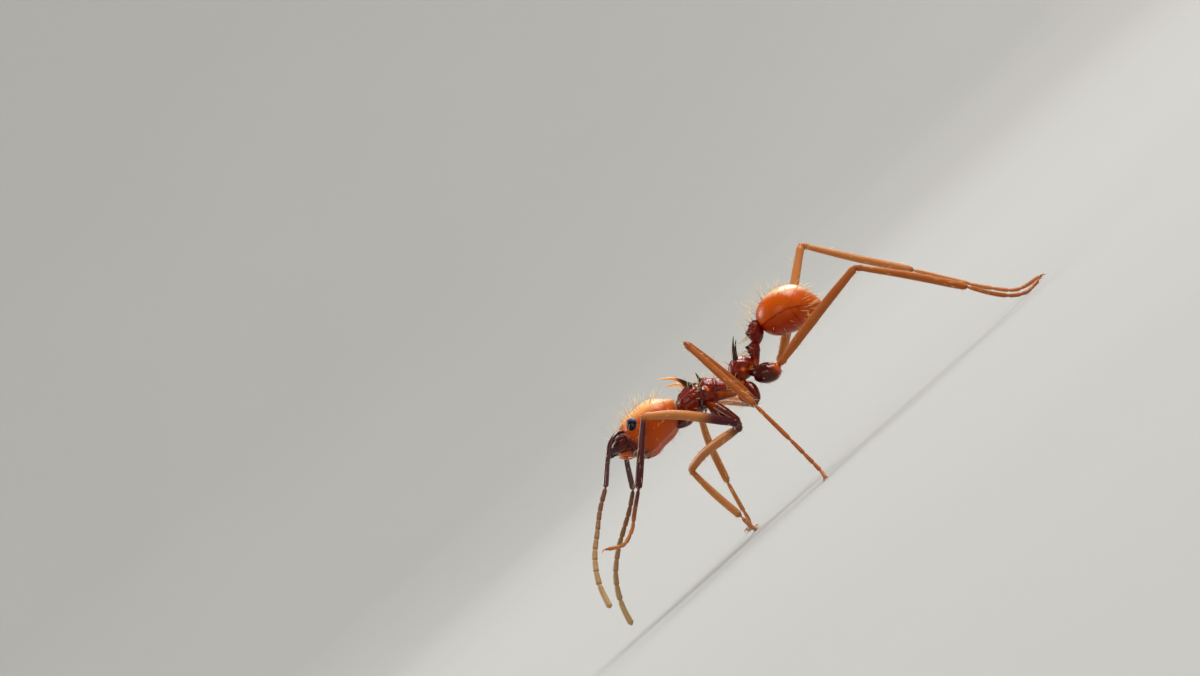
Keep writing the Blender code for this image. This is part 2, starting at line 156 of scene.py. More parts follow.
def stroke(obj, path, depth, width, mirrored=True):
    """Raise (or sink) a line on the surface."""
    path = np.array(path, float)
    for side in ((1, -1) if mirrored and np.abs(path[:, 1]).max() > 1e-6 else (1,)):
        spots = []
        for a, b in zip(path[:-1], path[1:]):
            count = max(2, int(np.linalg.norm(b - a) / STEP))
            spots += [(a + (b - a) * t) * (1, side, 1) for t in np.linspace(0, 1, count)]
        mark(obj, nearest(spots))
        bpy.ops.transform.shrink_fatten(value=depth, use_proportional_edit=True,
                                        proportional_edit_falloff="SMOOTH", proportional_size=width)


def carve(obj, *moves):
    """Pulls (a spot, a shift, a reach) and strokes (a path, a depth, a width), made in turn."""
    edit(obj)
    for move in moves:
        (pull if isinstance(move[0], tuple) else stroke)(obj, *move)
    done()


# %% [markdown]
# ## Growing a plate
# A plate such as the head or the gaster is a ball drawn out along one axis. Its ring of points at each
# station is scaled and shifted, and the two ends close over a rounded cap. An extruded circle would do too,
# but its ends would need closing afterwards. The points are listed anew first, as hairs are drawn by chance
# in their order.
# %% Growing
def smooth(xs, rows, at):
    """A smooth curve through rows of numbers that are given at xs, read at the places at."""
    slope = np.gradient(rows, xs, axis=0) if len(xs) > 2 else np.tile((rows[1] - rows[0]) / xs[1], (2, 1))
    i = np.clip(np.searchsorted(xs, at) - 1, 0, len(xs) - 2)
    h = (xs[i + 1] - xs[i])[:, None]
    u = (at - xs[i])[:, None] / h
    return (rows[i] * (2 * u**3 - 3 * u**2 + 1) + rows[i + 1] * (3 * u**2 - 2 * u**3)
            + h * slope[i] * (u**3 - 2 * u**2 + u) + h * slope[i + 1] * (u**3 - u**2))


def in_order(obj, rank):
    """List a mesh's parts by the rank of their points. Blender may list them in another order each run."""
    bm = bmesh.new()
    bm.from_mesh(obj.data)
    for i, v in enumerate(sorted(bm.verts, key=rank)):
        v.index = i
    bm.verts.sort()
    bm.verts.index_update()
    for parts in (bm.edges, bm.faces):
        for i, part in enumerate(sorted(parts, key=lambda part: sorted(v.index for v in part.verts))):
            part.index = i
        parts.sort()
        parts.index_update()
    bm.to_mesh(obj.data)
    bm.free()


def ball(around, rings):
    """A ball about the X axis, with its points set exactly and listed ring by ring."""
    bpy.ops.mesh.primitive_uv_sphere_add(segments=around, ring_count=rings, rotation=(0, math.radians(90), 0))
    obj = bpy.context.object
    bpy.ops.object.transform_apply(location=False, rotation=True, scale=False)

    def spot(v):
        ring = round(math.acos(max(-1.0, min(1.0, v.co.x))) / math.pi * rings)
        place = round(math.atan2(v.co.z, v.co.y) / (2 * math.pi) * around) % around
        return (ring, place) if 0 < ring < rings else (ring, 0)

    for v in obj.data.vertices:
        ring, place = spot(v)
        a, b = math.pi * ring / rings, 2 * math.pi * place / around
        v.co = (math.cos(a), math.sin(a) * math.cos(b), math.sin(a) * math.sin(b))
    in_order(obj, spot)
    return obj


ASIDE = 50.0  # rings that are done wait this far along X, where no ring still to come can be picked


def grow(name, stations, ends, around=72, rings=48, slim=0.0):
    """A ball drawn out along X through stations.

    A station is (x, height of the centre, half height, half width), and a shift to the side may follow.
    ends holds a power for each cap: 2 makes it round, and more makes it flatter.
    """
    obj = ball(around, rings)
    obj.name = name
    table = np.array(stations, float)
    start, stop = table[0, 0] + slim, table[-1, 0] - slim
    levels = np.round([v.co.x for v in obj.data.vertices], 5)
    edit(obj)
    for level in sorted(set(levels)):
        t = float(level)
        x = start + (stop - start) * (1 + t) / 2
        row = smooth(table[:, 0], table[:, 1:], np.array([x]))[0]
        power = ends[0] if t < 0 else ends[1]
        ring = math.sqrt(max(0.0, 1 - t * t))
        cap = (1 - min(1.0, abs(t)) ** power) ** (1 / power) / ring if ring > 1e-4 else 1.0
        mark(obj, lambda places: np.abs(places[:, 0] - t) < 1e-4)
        wide, high = (row[2] - slim) * cap, (row[1] - slim) * cap
        bpy.ops.transform.resize(value=(1, wide, high), center_override=(t, 0, 0))
        shift = row[3] if len(row) > 3 else 0
        bpy.ops.transform.translate(value=(x - t + ASIDE, shift, row[0]))
    bpy.ops.mesh.select_all(action="SELECT")
    bpy.ops.transform.translate(value=(-ASIDE, 0, 0))
    done()
    return obj


# %% Modifiers that are applied at once
def apply(obj, kind, **settings):
    only(obj)
    modifier = obj.modifiers.new(kind.lower(), kind)
    for key, value in settings.items():
        setattr(modifier, key, value)
    bpy.ops.object.modifier_apply(modifier=modifier.name)
    return obj


def lumps(name, size):
    texture = bpy.data.textures.new(name, "CLOUDS")
    texture.noise_scale, texture.noise_depth = size, 2
    return texture


def fuse(name, pieces):
    """Join shapes into one piece, each keeping its own surface."""
    only(pieces[0])
    for piece in pieces[1:]:
        piece.select_set(True)
    bpy.ops.object.join()
    pieces[0].name = name
    return pieces[0]


def weld(name, pieces, voxel, rounds):
    """Join closed shapes into one skin without seams."""
    skin = apply(fuse(name, pieces), "REMESH", mode="VOXEL", voxel_size=voxel)
    return apply(skin, "SMOOTH", factor=0.5, iterations=rounds)


# %% [markdown]
# ## Where colour changes
# Cuticle isn't one colour: it is amber where it is thin and almost black where it is thick. Each piece
# carries numbers from 0 to 1 on its points, worked out from their place on the plate. The finish reads
# these numbers, so the colour stays on the plate however the ant is turned. On some plates the numbers
# also hold painted light: painted highlights paler on top, painted glow where light shines through, and
# painted shade darker underneath.
# %% Numbers on the points, and putting a piece in place
def points_of(obj):
    places = np.empty(len(obj.data.vertices) * 3)
    normals = np.empty(len(obj.data.vertices) * 3)
    obj.data.vertices.foreach_get("co", places)
    obj.data.vertices.foreach_get("normal", normals)
    return places.reshape(-1, 3), normals.reshape(-1, 3)


def paint(obj, **channels):
    """Store numbers on the points: each channel is a function of places and normals."""
    places, normals = points_of(obj)
    for name, rule in channels.items():
        values = np.clip(rule(places, normals), 0, 1).astype(np.float32)
        obj.data.attributes.new(name, "FLOAT", "POINT").data.foreach_set("value", values)


def ramp(values, low, high):
    t = np.clip((values - low) / (high - low), 0, 1)
    return t * t * (3 - 2 * t)


def near(places, spot, reach):
    return np.exp(-(np.linalg.norm(places - np.array(spot), axis=1) / reach) ** 2)


def near_both(places, spot, reach):
    return near(places, spot, reach) + near(places, (spot[0], -spot[1], spot[2]), reach)


def settle(obj, place, finish, nodes=(), sharp=180):
    """Put a finished piece on the ant in metres, dress it, and say how well it fits its solids."""
    only(obj)
    obj.matrix_world = Matrix.Scale(MM, 4) @ place
    bpy.ops.object.transform_apply(location=True, rotation=True, scale=True)
    for point in obj.data.vertices:
        point.co.z = max(point.co.z, 0.0)
    if place.determinant() < 0:
        edit(obj, every=True)
        bpy.ops.mesh.normals_make_consistent(inside=False)
        done()
    if sharp < 180:
        bpy.ops.object.shade_smooth_by_angle(angle=math.radians(sharp))
    else:
        bpy.ops.object.shade_smooth()
    obj.data.materials.clear()
    obj.data.materials.append(finish)
    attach(obj, "root")
    triangles = sum(len(p.vertices) - 2 for p in obj.data.polygons)
    proud = 0.0
    if nodes:
        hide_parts(*nodes)
        boxes = [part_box(n) for n in nodes]
        low, high = (np.array([[*b[i]] for b in boxes]) for i in (0, 1))
        places = points_of(obj)[0]
        past = np.concatenate([low.min(axis=0) - places.min(axis=0), places.max(axis=0) - high.max(axis=0)])
        proud = max(0.0, past.max()) / MM
    print(f"{obj.name}: {triangles} triangles, at most {proud:.2f} mm outside its solid's box")


# %% [markdown]
# ## Writing a finish as a sum
# A finish is a network of nodes. Wired by hand it's hard to read, so a small class wraps an output, and
# ordinary sums on it add Math nodes. Every other node comes from one method.
# %% Wires and finishes
class Wire:
    """One output of a node, which can be used in sums."""

    def __init__(self, finish, socket):
        self.finish, self.socket = finish, socket

    def sum(self, operation, *values):
        return self.finish.node("ShaderNodeMath", {"operation": operation}, dict(enumerate(values)))

    def __add__(self, other): return self.sum("ADD", self, other)
    def __radd__(self, other): return self.sum("ADD", other, self)
    def __sub__(self, other): return self.sum("SUBTRACT", self, other)
    def __rsub__(self, other): return self.sum("SUBTRACT", other, self)
    def __mul__(self, other): return self.sum("MULTIPLY", self, other)
    def __rmul__(self, other): return self.sum("MULTIPLY", other, self)

    def between(self, low, high):
        return self.finish.node("ShaderNodeMapRange", {"interpolation_type": "SMOOTHSTEP"},
                                {"Value": self, "From Min": low, "From Max": high})


class Finish:
    def __init__(self, name):
        self.material = bpy.data.materials.new(name)
        self.material.use_nodes = True
        self.tree = self.material.node_tree
        self.shader = self.tree.nodes["Principled BSDF"]

    def put(self, socket, value):
        if isinstance(value, Wire):
            self.tree.links.new(value.socket, socket)
        else:
            socket.default_value = value

    def node(self, kind, settings=None, values=None, out=0):
        """Any node: its settings come first, then the values or wires of its sockets."""
        node = self.tree.nodes.new(kind)
        for key, value in (settings or {}).items():
            setattr(node, key, value)
        for key, value in (values or {}).items():
            self.put(node.inputs[key], value)
        return Wire(self, node.outputs[out])

    def place(self):
        """Object coordinates, here in millimetres."""
        spot = self.node("ShaderNodeTexCoord", out="Object")
        return self.node("ShaderNodeVectorMath", {"operation": "SCALE"}, {0: spot, "Scale": 1 / MM})

    def channel(self, name):
        return self.node("ShaderNodeAttribute", {"attribute_name": name}, out="Fac")

    def noise(self, spot, scale, detail=3.0):
        return self.node("ShaderNodeTexNoise", None,
                         {"Vector": spot, "Scale": scale, "Detail": detail, "Roughness": 0.55}, out="Fac")

    def cells(self, spot, scale):
        return self.node("ShaderNodeTexVoronoi", None, {"Vector": spot, "Scale": scale}, out="Distance")

    def mix(self, factor, a, b):
        return self.node("ShaderNodeMix", {"data_type": "RGBA"}, {0: factor, 6: a, 7: b}, out=2)

    def set(self, **values):
        for key, value in values.items():
            self.put(self.shader.inputs[key.replace("_", " ")], value)

    def bump(self, height, strength, distance):
        return self.node("ShaderNodeBump", None,
                         {"Height": height, "Strength": strength, "Distance": distance})


def rgb(red, green, blue):
    """A colour given as it looks on a screen, 0 to 255, in the linear values that a shader takes."""
    line = [v / 255 for v in (red, green, blue)]
    return tuple(v / 12.92 if v <= 0.04045 else ((v + 0.055) / 1.055) ** 2.4 for v in line) + (1.0,)


# %% [markdown]
# ## Cuticle
# The shell is thin, polished and a little see-through, like stained horn. Three colours are enough: the
# amber of a thin plate, its own red-brown, and a dark maroon along seams and on the hardest parts. The
# pale colour also serves for painted highlights and painted glow, and the dark one for painted shade. A
# fine net of cells dulls the polish, as the real shell's microscopic scales do.
# %% The finishes of the shell
WARM = (1.0, 0.72, 0.5, 1.0)  # the tint of the shell's shine


def cuticle(name, thin, main, deep, rough=0.34, net=26.0, relief=0.25, gloss=0.12, shine=0.25, polish=0.2):
    """Shell from its three colours. relief is for the net, gloss and polish for the wet layer on top."""
    f = Finish(name)
    mm = f.place()
    clouds = f.noise(mm, 2.2, 4.0)
    grain = f.noise(mm, 34.0, 3.0)
    net_height = f.cells(mm, net)
    dark = (f.channel("dark") * 1.1 + (clouds - 0.5) * 0.45 + (grain - 0.5) * 0.25).between(0.12, 0.92)
    light = (f.channel("thin") + (clouds - 0.5) * 0.3).between(0.1, 1.0)
    colour = f.mix(light, main, thin)
    colour = f.mix(dark, colour, deep)
    height = net_height * 0.6 + grain * 0.5 + f.noise(mm, 9.0, 2.0) * 0.6
    f.set(Base_Color=colour, Roughness=(rough + (grain - 0.5) * 0.22 + (clouds - 0.5) * 0.12),
          Normal=f.bump(height, relief, 0.00003), IOR=1.52,
          Specular_IOR_Level=shine, Specular_Tint=WARM,
          Coat_Weight=f.channel("wet") * 0.8 + gloss, Coat_Roughness=polish,
          Subsurface_Weight=0.2, Subsurface_Scale=0.00022, Subsurface_Radius=(1.0, 0.32, 0.08))
    return f.material


# The first colour of the head and the gaster is also their painted highlight on top, and their last colour
# also their painted shade below.
head_shell = cuticle("head_shell", rgb(244, 190, 118), rgb(180, 68, 0), rgb(70, 7, 5),
                     0.42, net=22, relief=0.22, gloss=0.1, shine=0.15, polish=0.3)
trunk_shell = cuticle("trunk_shell", rgb(222, 112, 6), rgb(116, 20, 0), rgb(44, 4, 3),
                      0.30, relief=0.3, gloss=0.3, shine=0.15, polish=0.2)
waist_shell = cuticle("waist_shell", rgb(172, 62, 8), rgb(104, 13, 0), rgb(46, 4, 4),
                      0.32, relief=0.45, gloss=0.14, shine=0.16)
gaster_shell = cuticle("gaster_shell", rgb(250, 206, 158), rgb(180, 72, 0), rgb(138, 20, 0),
                       0.34, net=30, relief=0.12, gloss=0.12, shine=0.16, polish=0.2)
jaw_shell = cuticle("jaw_shell", rgb(140, 36, 14), rgb(78, 8, 10), rgb(34, 2, 6),
                    0.24, relief=0.3, gloss=0.26, shine=0.16, polish=0.14)
mouth_shell = cuticle("mouth_shell", rgb(232, 128, 40), rgb(186, 72, 12), rgb(80, 20, 10), 0.4)
leg_shell = cuticle("leg_shell", rgb(190, 128, 72), rgb(150, 70, 8), rgb(68, 10, 26),
                    0.38, net=34, relief=0.25)
coxa_shell = cuticle("coxa_shell", rgb(176, 70, 6), rgb(108, 18, 0), rgb(56, 5, 8),
                     0.22, relief=0.15, gloss=0.34, shine=0.15, polish=0.12)
feeler_shell = cuticle("feeler_shell", rgb(176, 150, 104), rgb(128, 84, 46), rgb(60, 18, 26),
                       0.42, net=40, relief=0.3)
spine_shell = cuticle("spine_shell", rgb(244, 166, 70), rgb(160, 62, 12), rgb(30, 6, 8),
                      0.28, relief=0.15, gloss=0.3)
scape_shell = cuticle("scape_shell", rgb(176, 130, 96), rgb(116, 70, 52), rgb(62, 16, 26),
                      0.26, net=40, relief=0.1, gloss=0.9, polish=0.1)
print("finishes:", len(bpy.data.materials))

# %% [markdown]
# ## The head
# A leafcutter's head is large and heart-shaped, because the muscles of the jaws fill it. It narrows towards
# the jaws, and its rear has two lobes with a furrow between them. The capsule is grown from the same
# stations as its solid, a hair's breadth slimmer, and then sculpted with strokes.
# %% The head capsule
HEAD = [(-1.95, .03, .37, .48), (-1.81, -.01, .49, .66), (-1.60, -.04, .63, .87), (-1.39, -.04, .71, .98),
        (-1.08, 0, .77, 1.08), (-.78, .09, .74, 1.12), (-.54, .13, .71, 1.10), (-.19, .16, .59, 1.02),
        (.17, .29, .42, .86)]
EYE = dict(centre=(-1.26, .895, .22), half=(.165, .11, .20), turn=-16.0)

head = grow("head_capsule", HEAD, (3.0, 5.0), 112, 84, slim=0.015)
x, y, z = EYE["centre"]
socket = [(x + .23 * math.cos(a), y + .04, z + .27 * math.sin(a)) for a in np.linspace(0, 2 * math.pi, 24)]
furrow = [((.17 - .5 * t, 0, .70 + .14 * t), (-.030 * (1 - t), 0, -.05 * (1 - .6 * t)), .36)
          for t in np.linspace(0, 1, 9)[1:]]
carve(
    head, *furrow, ((0.17, 0, 0.3), (-0.22, 0, 0), 0.52),
    ([(-.2, 0, .8), (-.6, 0, .85), (-1.1, 0, .78), (-1.5, 0, .60)], -0.022, 0.09),
    ([(-1.72, .30, .42), (-1.50, .36, .56), (-1.30, .42, .62)], 0.055, 0.12),
    ((-1.60, .47, .36), (0.05, -.05, -.08), 0.17),
    ([(-1.95, .10, .30), (-1.80, .18, .38), (-1.74, .42, .30)], -0.035, 0.08),
    ((-1.98, 0, .10), (-0.05, 0, 0.03), 0.34),
    ([(-2.0, .52, -.15), (-1.86, .66, -.05), (-1.70, .78, .0)], -0.03, 0.09),
    (socket, -0.028, 0.07),
    ([(-.36, .42, -.37), (-.62, .46, -.46), (-.88, .46, -.56), (-1.20, .44, -.68), (-1.44, .42, -.74)],
     0.014, 0.13),
    ((-.70, 0, -.62), (0, 0, .05), 0.72),
    ((-.30, 0, -.42), (0, 0, .04), 0.50),
    ((.02, 0, .70), (0, 0, -.14), 0.75),
    ((.14, 0, .54), (-.03, 0, -.18), 0.55),
    ((.12, .42, .46), (-.05, 0, -.06), 0.30),
    ((.06, .48, .48), (-.01, 0, -.06), 0.34),
    ((.11, .26, .44), (-.02, 0, -.05), 0.26),
    ((-1.36, .34, -.74), (-.02, 0, -.04), 0.10),
    ((-.92, .30, -.72), (0, .01, -.05), 0.08),
    ([(-1.80, .66, .06), (-1.76, .68, -.14), (-1.70, .62, -.36)], -0.07, 0.14),
    ((-1.93, 0, -.24), (.18, 0, .05), 0.40),
    ([(-.5, 0, -.55), (-.9, 0, -.72), (-1.4, 0, -.76), (-1.8, 0, -.64)], -0.02, 0.16),
    ((.05, .64, .30), (.05, .02, .05), 0.26),
    ((-.06, .84, .02), (.04, .03, 0), 0.22),
    ((-1.62, .62, -.52), (0, .02, -.05), 0.2),
    ((-1.20, .12, -.86), (0, 0, .10), 0.38),
)
apply(head, "SUBSURF", levels=1, render_levels=1)
apply(head, "DISPLACE", texture=lumps("head_lumps", 0.16), strength=0.012, mid_level=0.5)


def head_dark(p, n):
    face = (ramp(-p[:, 0] - 0.42 * p[:, 2], 1.44, 1.80) * (0.12 + 0.88 * ramp(p[:, 2], -.68, -.42))
            + 0.26 * ramp(-p[:, 0] - 0.42 * p[:, 2], 1.0, 1.6) * (0.3 + 0.7 * ramp(p[:, 2], -.75, -.50)))
    rim = 0.9 * near_both(p, (-1.26, 0.95, 0.22), 0.10)
    corner = near_both(p, (-1.40, .42, -.76), 0.20)
    seam = 0.5 * ramp(p[:, 0], 0.06, 0.2)
    # The last term is painted shade: darker on faces turned downwards.
    return face + corner + seam + rim * 0.4 + 0.14 * ramp(-n[:, 2], 0.55, 1.0)


# Painted light on the head: a painted glow at each rear corner where light shines through, a painted
# highlight growing paler towards the top, and a paler spot above each eye.
def head_thin(p, n):
    return (0.75 * near_both(p, (0.05, .50, .26), 0.19) + 0.74 * ramp(p[:, 2], -0.02, 0.75)
            + 0.2 * near_both(p, (-1.3, .9, .45), .2))


paint(head, dark=head_dark, thin=head_thin, wet=lambda p, n: 0.7 * ramp(n[:, 2], .35, .95))
settle(head, BODY @ HEAD_AXES, head_shell, ["head"])

# %% [markdown]
# ## The eyes
# A compound eye is a dome of hundreds of six-sided lenses. A ball of triangles turned into its dual gives
# exactly such a net, and each cell is inset and raised a little. The eye stays a piece of its own, as it is
# a different material: black, wet and with a cold shine.
# %% The compound eyes
def dual(name):
    tree = bpy.data.node_groups.new(name, "GeometryNodeTree")
    for way in ("INPUT", "OUTPUT"):
        tree.interface.new_socket("Geometry", in_out=way, socket_type="NodeSocketGeometry")
    kinds = ("NodeGroupInput", "GeometryNodeDualMesh", "NodeGroupOutput")
    start, turn, end = (tree.nodes.new(kind) for kind in kinds)
    tree.links.new(start.outputs[0], turn.inputs[0])
    tree.links.new(turn.outputs[0], end.inputs[0])
    return tree


f = Finish("eye_lens")
mm = f.place()
black = f.mix(f.noise(mm, 3.0), rgb(4, 1, 8), rgb(8, 5, 16))
# The eye's black turns blue-grey towards the top: a painted reflection.
f.set(Base_Color=f.mix(f.channel("thin"), black, rgb(112, 120, 142)),
      Roughness=0.30 + f.noise(mm, 40.0) * 0.1, Coat_Weight=0.22, Coat_Roughness=0.16,
      Specular_IOR_Level=0.10, Specular_Tint=(0.7, 0.8, 1.0, 1.0))
eye_lens = f.material
lens_net = dual("lens_net")
for name, side in (("left", -1), ("right", 1)):
    bpy.ops.mesh.primitive_ico_sphere_add(subdivisions=4, radius=1.0)
    eye = bpy.context.object
    eye.name = f"compound_eye_{name}"
    apply(eye, "NODES", node_group=lens_net)
    edit(eye, "FACE", every=True)
    bpy.ops.mesh.inset(thickness=0.010, depth=0.003, use_individual=True)
    bpy.ops.mesh.poke(offset=0.006)
    bpy.ops.mesh.select_all(action="SELECT")
    bpy.ops.transform.resize(value=[v * 1.14 for v in EYE["half"]])
    bpy.ops.mesh.select_mode(type="VERT")
    pull(eye, (-.02, 0, -.2), (0.03, 0, -0.01), 0.3, mirrored=False)
    done()
    x, y, z = EYE["centre"]
    place = (BODY @ HEAD_AXES @ Matrix.Translation((x, y * side, z))
             @ Matrix.Rotation(math.radians(EYE["turn"] * -side), 4, "Z"))
    # Painted reflection: paler on faces turned up and forward.
    paint(eye, thin=lambda p, n: ramp(n[:, 2] + 0.3 * n[:, 0], .18, 1.0))
    settle(eye, place, eye_lens, [f"eye_{name}"])

# %% [markdown]
# ## The jaws
# Each jaw is a curved blade, thick along its outer edge and thin at its toothed inner edge. It is grown
# along its length like a plate, teeth are added as small cones, and a weld makes them one hard piece.
# %% The mandibles
JAW = [(-.16, 0, .09, .20, .36), (0, 0, .12, .27, .36), (.15, 0, .125, .29, .34), (.30, 0, .115, .29, .315),
       (.46, 0, .10, .245, .265), (.60, 0, .075, .17, .185), (.72, 0, .045, .08, .08),
       (.80, 0, .02, .02, .01)]


def cone(at, towards, thick):
    """A slim cone from one place to another, with a closed foot."""
    start, end = Vector(at), Vector(towards)
    turn = (end - start).to_track_quat("Z", "Y").to_euler()
    bpy.ops.mesh.primitive_cone_add(vertices=10, radius1=thick, radius2=thick * 0.12,
                                    depth=(end - start).length, location=(start + end) / 2, rotation=turn)
    bpy.ops.object.transform_apply(location=True, rotation=True, scale=True)
    return bpy.context.object


for name, side in (("left", -1), ("right", 1)):
    blade = grow(f"jaw_{name}", JAW, (3.0, 2.0), 64, 44)
    carve(
        blade,
        ([(-.02, .54, .08), (.25, .52, .09), (.48, .40, .08), (.64, .24, .06)], 0.03, 0.08, False),
        ([(-.02, .42, .12), (.25, .40, .12), (.50, .29, .09)], -0.03, 0.08, False),
        ([(.0, .26, .12), (.28, .26, .12), (.52, .18, .08)], 0.016, 0.07, False),
    )
    teeth = []
    for i, t in enumerate(np.linspace(0.28, 0.70, 6)):
        long = 0.075 if i % 2 else 0.055
        teeth.append(cone((t, .05, 0), (t + .025, -long + .03, -.01), 0.042))
    teeth.append(cone((.66, .10, 0), (.84, -.06, -.02), 0.06))
    jaw = weld(f"jaw_{name}", [blade] + teeth, 0.010, 9)
    paint(jaw, dark=lambda p, n: ramp(p[:, 0], .1, .7) + 0.8 * ramp(-p[:, 1], -.16, .02),
          thin=lambda p, n: 0.6 * ramp(-p[:, 0], -.1, .15))
    hinge = Matrix.Translation((-1.60, .09 * side, -.19))
    place = (BODY @ HEAD_AXES @ hinge @ Matrix.Rotation(math.radians(4), 4, "Y")
             @ Matrix.Rotation(math.radians(24 * side), 4, "X") @ Matrix.Diagonal((-1, side, 1.45, 1)))
    settle(jaw, place, jaw_shell, [f"mandible_{name}"])

# %% [markdown]
# ## The mouth
# Under the jaws lie the lips and two pairs of short feelers, soft and orange. They are small here, so a
# folded pad with a few jointed palps is enough.
# %% Lines for limbs, and the mouthparts
def unit(v):
    return v / np.maximum(np.linalg.norm(v, axis=-1, keepdims=True), 1e-9)


def smooth_line(points, count):
    """count places along a smooth curve through points, and how far along each lies, from 0 to 1."""
    p = np.array(points, float)
    t = np.concatenate([[0], np.cumsum(np.linalg.norm(np.diff(p, axis=0), axis=1))])
    fine = np.linspace(0, t[-1], count)
    return smooth(t, p, fine), fine / t[-1]


def limb(name, points, profile, count=40, corners=3, over=(0, 0)):
    """A round limb along points, run past its ends by over. profile lists (how far along, radius)."""
    line, along = smooth_line(points, count)
    line[0] -= unit(line[1] - line[0]) * over[0]
    line[-1] += unit(line[-1] - line[-2]) * over[1]
    length = np.linalg.norm(np.diff(line, axis=0), axis=1).sum()
    table = np.array(profile, float)
    first, last = table[0, 1], table[-1, 1]
    turn = np.linspace(0, math.pi / 2, 6)
    ends = np.concatenate([(1 - np.cos(turn)) * first / length, 1 - (1 - np.cos(turn)) * last / length])
    between = np.linspace(first / length, 1 - last / length, count)
    fine = np.unique(np.round(np.concatenate([ends, between]), 6))
    centre = np.stack([np.interp(fine, along, line[:, k]) for k in range(3)], axis=1)
    thick = np.interp(fine, table[:, 0], table[:, 1])
    for far, cap in ((fine * length, first), ((1 - fine) * length, last)):
        inside = far < cap
        round_end = np.sqrt(np.maximum(cap**2 - (cap - far[inside]) ** 2, (0.04 * cap) ** 2))
        thick[inside] = np.minimum(thick[inside], round_end)
    bpy.ops.curve.primitive_nurbs_path_add()
    obj = bpy.context.object
    obj.name = name
    curve = obj.data
    curve.splines.clear()
    spline = curve.splines.new("POLY")
    spline.points.add(len(centre) - 1)
    for point, co, radius in zip(spline.points, centre, thick):
        point.co, point.radius = (*co, 1.0), radius
    curve.dimensions, curve.use_fill_caps = "3D", True
    curve.bevel_depth, curve.bevel_resolution = 1.0, corners
    bpy.ops.object.convert(target="MESH")
    obj = bpy.context.object
    edit(obj, every=True)
    bpy.ops.mesh.remove_doubles(threshold=1e-6)
    bpy.ops.mesh.normals_make_consistent(inside=False)
    done()
    if obj.data.uv_layers.active:
        obj.data.uv_layers.remove(obj.data.uv_layers.active)
    gaps = np.linalg.norm(points_of(obj)[0][:, None, :] - centre[None], axis=2)
    step = fine[np.argmin(gaps, axis=1)].astype(np.float32)
    obj.data.attributes.new("along", "FLOAT", "POINT").data.foreach_set("value", step)
    return obj


def steps(mesh):
    """How far along its limb each point of a mesh lies."""
    step = np.zeros(len(mesh.vertices), np.float32)
    mesh.attributes["along"].data.foreach_get("value", step)
    return step


MOUTH = [(-2.12, -.27, .05, .12), (-1.96, -.32, .10, .22), (-1.72, -.42, .14, .30), (-1.36, -.56, .12, .26)]
mouth = [grow("lips", MOUTH, (2, 2), 40, 24)]
carve(
    mouth[0],
    ([(-2.1, .05, -.32), (-1.9, .07, -.43), (-1.6, .07, -.58)], -0.02, 0.05),
    ([(-2.0, .16, -.26), (-1.8, .24, -.34)], -0.02, 0.05),
)
for side in (-1, 1):
    outer = [(-1.62, .19 * side, -.53), (-1.84, .25 * side, -.51), (-1.98, .27 * side, -.45),
             (-2.07, .25 * side, -.38)]
    inner = [(-1.92, .05 * side, -.47), (-2.04, .07 * side, -.43), (-2.12, .06 * side, -.37)]
    mouth += [limb("palp", outer, [(0, .018), (.3, .020), (.36, .012), (.42, .021), (.66, .019), (.7, .011),
                                   (.76, .018), (1, .010)], 30),
              limb("palp", inner, [(0, .014), (.45, .018), (.5, .011), (.56, .018), (1, .010)], 24)]
mouth = fuse("lips_and_palps", mouth)
edit(mouth, every=True)
bpy.ops.transform.translate(value=(0, 0, 0.07))
done()
paint(mouth, dark=lambda p, n: 0.5 * ramp(p[:, 0], -1.7, -1.5),
      thin=lambda p, n: 0.6 * ramp(-p[:, 0], 1.8, 2.1))
settle(mouth, BODY @ HEAD_AXES, mouth_shell, ["mouthparts"])

# %% [markdown]
# ## The trunk
# The middle of the body is three plates grown into one box: the pronotum in front, the mesothorax, and the
# propodeum behind. On the real ant only sutures part them, so three grown plates are welded into one skin
# and the sutures are sunk into it afterwards. A weld forgets fine detail, so the carving comes after it.
# %% The welded trunk
PRONOTUM = [(-.28, -.30, .26, .26), (-.10, -.19, .38, .36), (.15, -.08, .43, .45), (.27, -.02, .47, .50),
            (.50, .09, .48, .56), (.75, .17, .49, .57), (1.02, .18, .46, .50)]
MESOTHORAX = [(.80, .17, .36, .42), (1.10, .17, .44, .45), (1.28, .17, .40, .42), (1.44, .13, .38, .40),
              (1.60, .07, .37, .38), (1.98, -.06, .33, .37), (2.18, -.14, .30, .36)]
PROPODEUM = [(.38, .12, .32, .32), (.60, .17, .36, .36), (.80, .18, .40, .38), (.98, .16, .37, .36),
             (1.24, .11, .30, .30)]

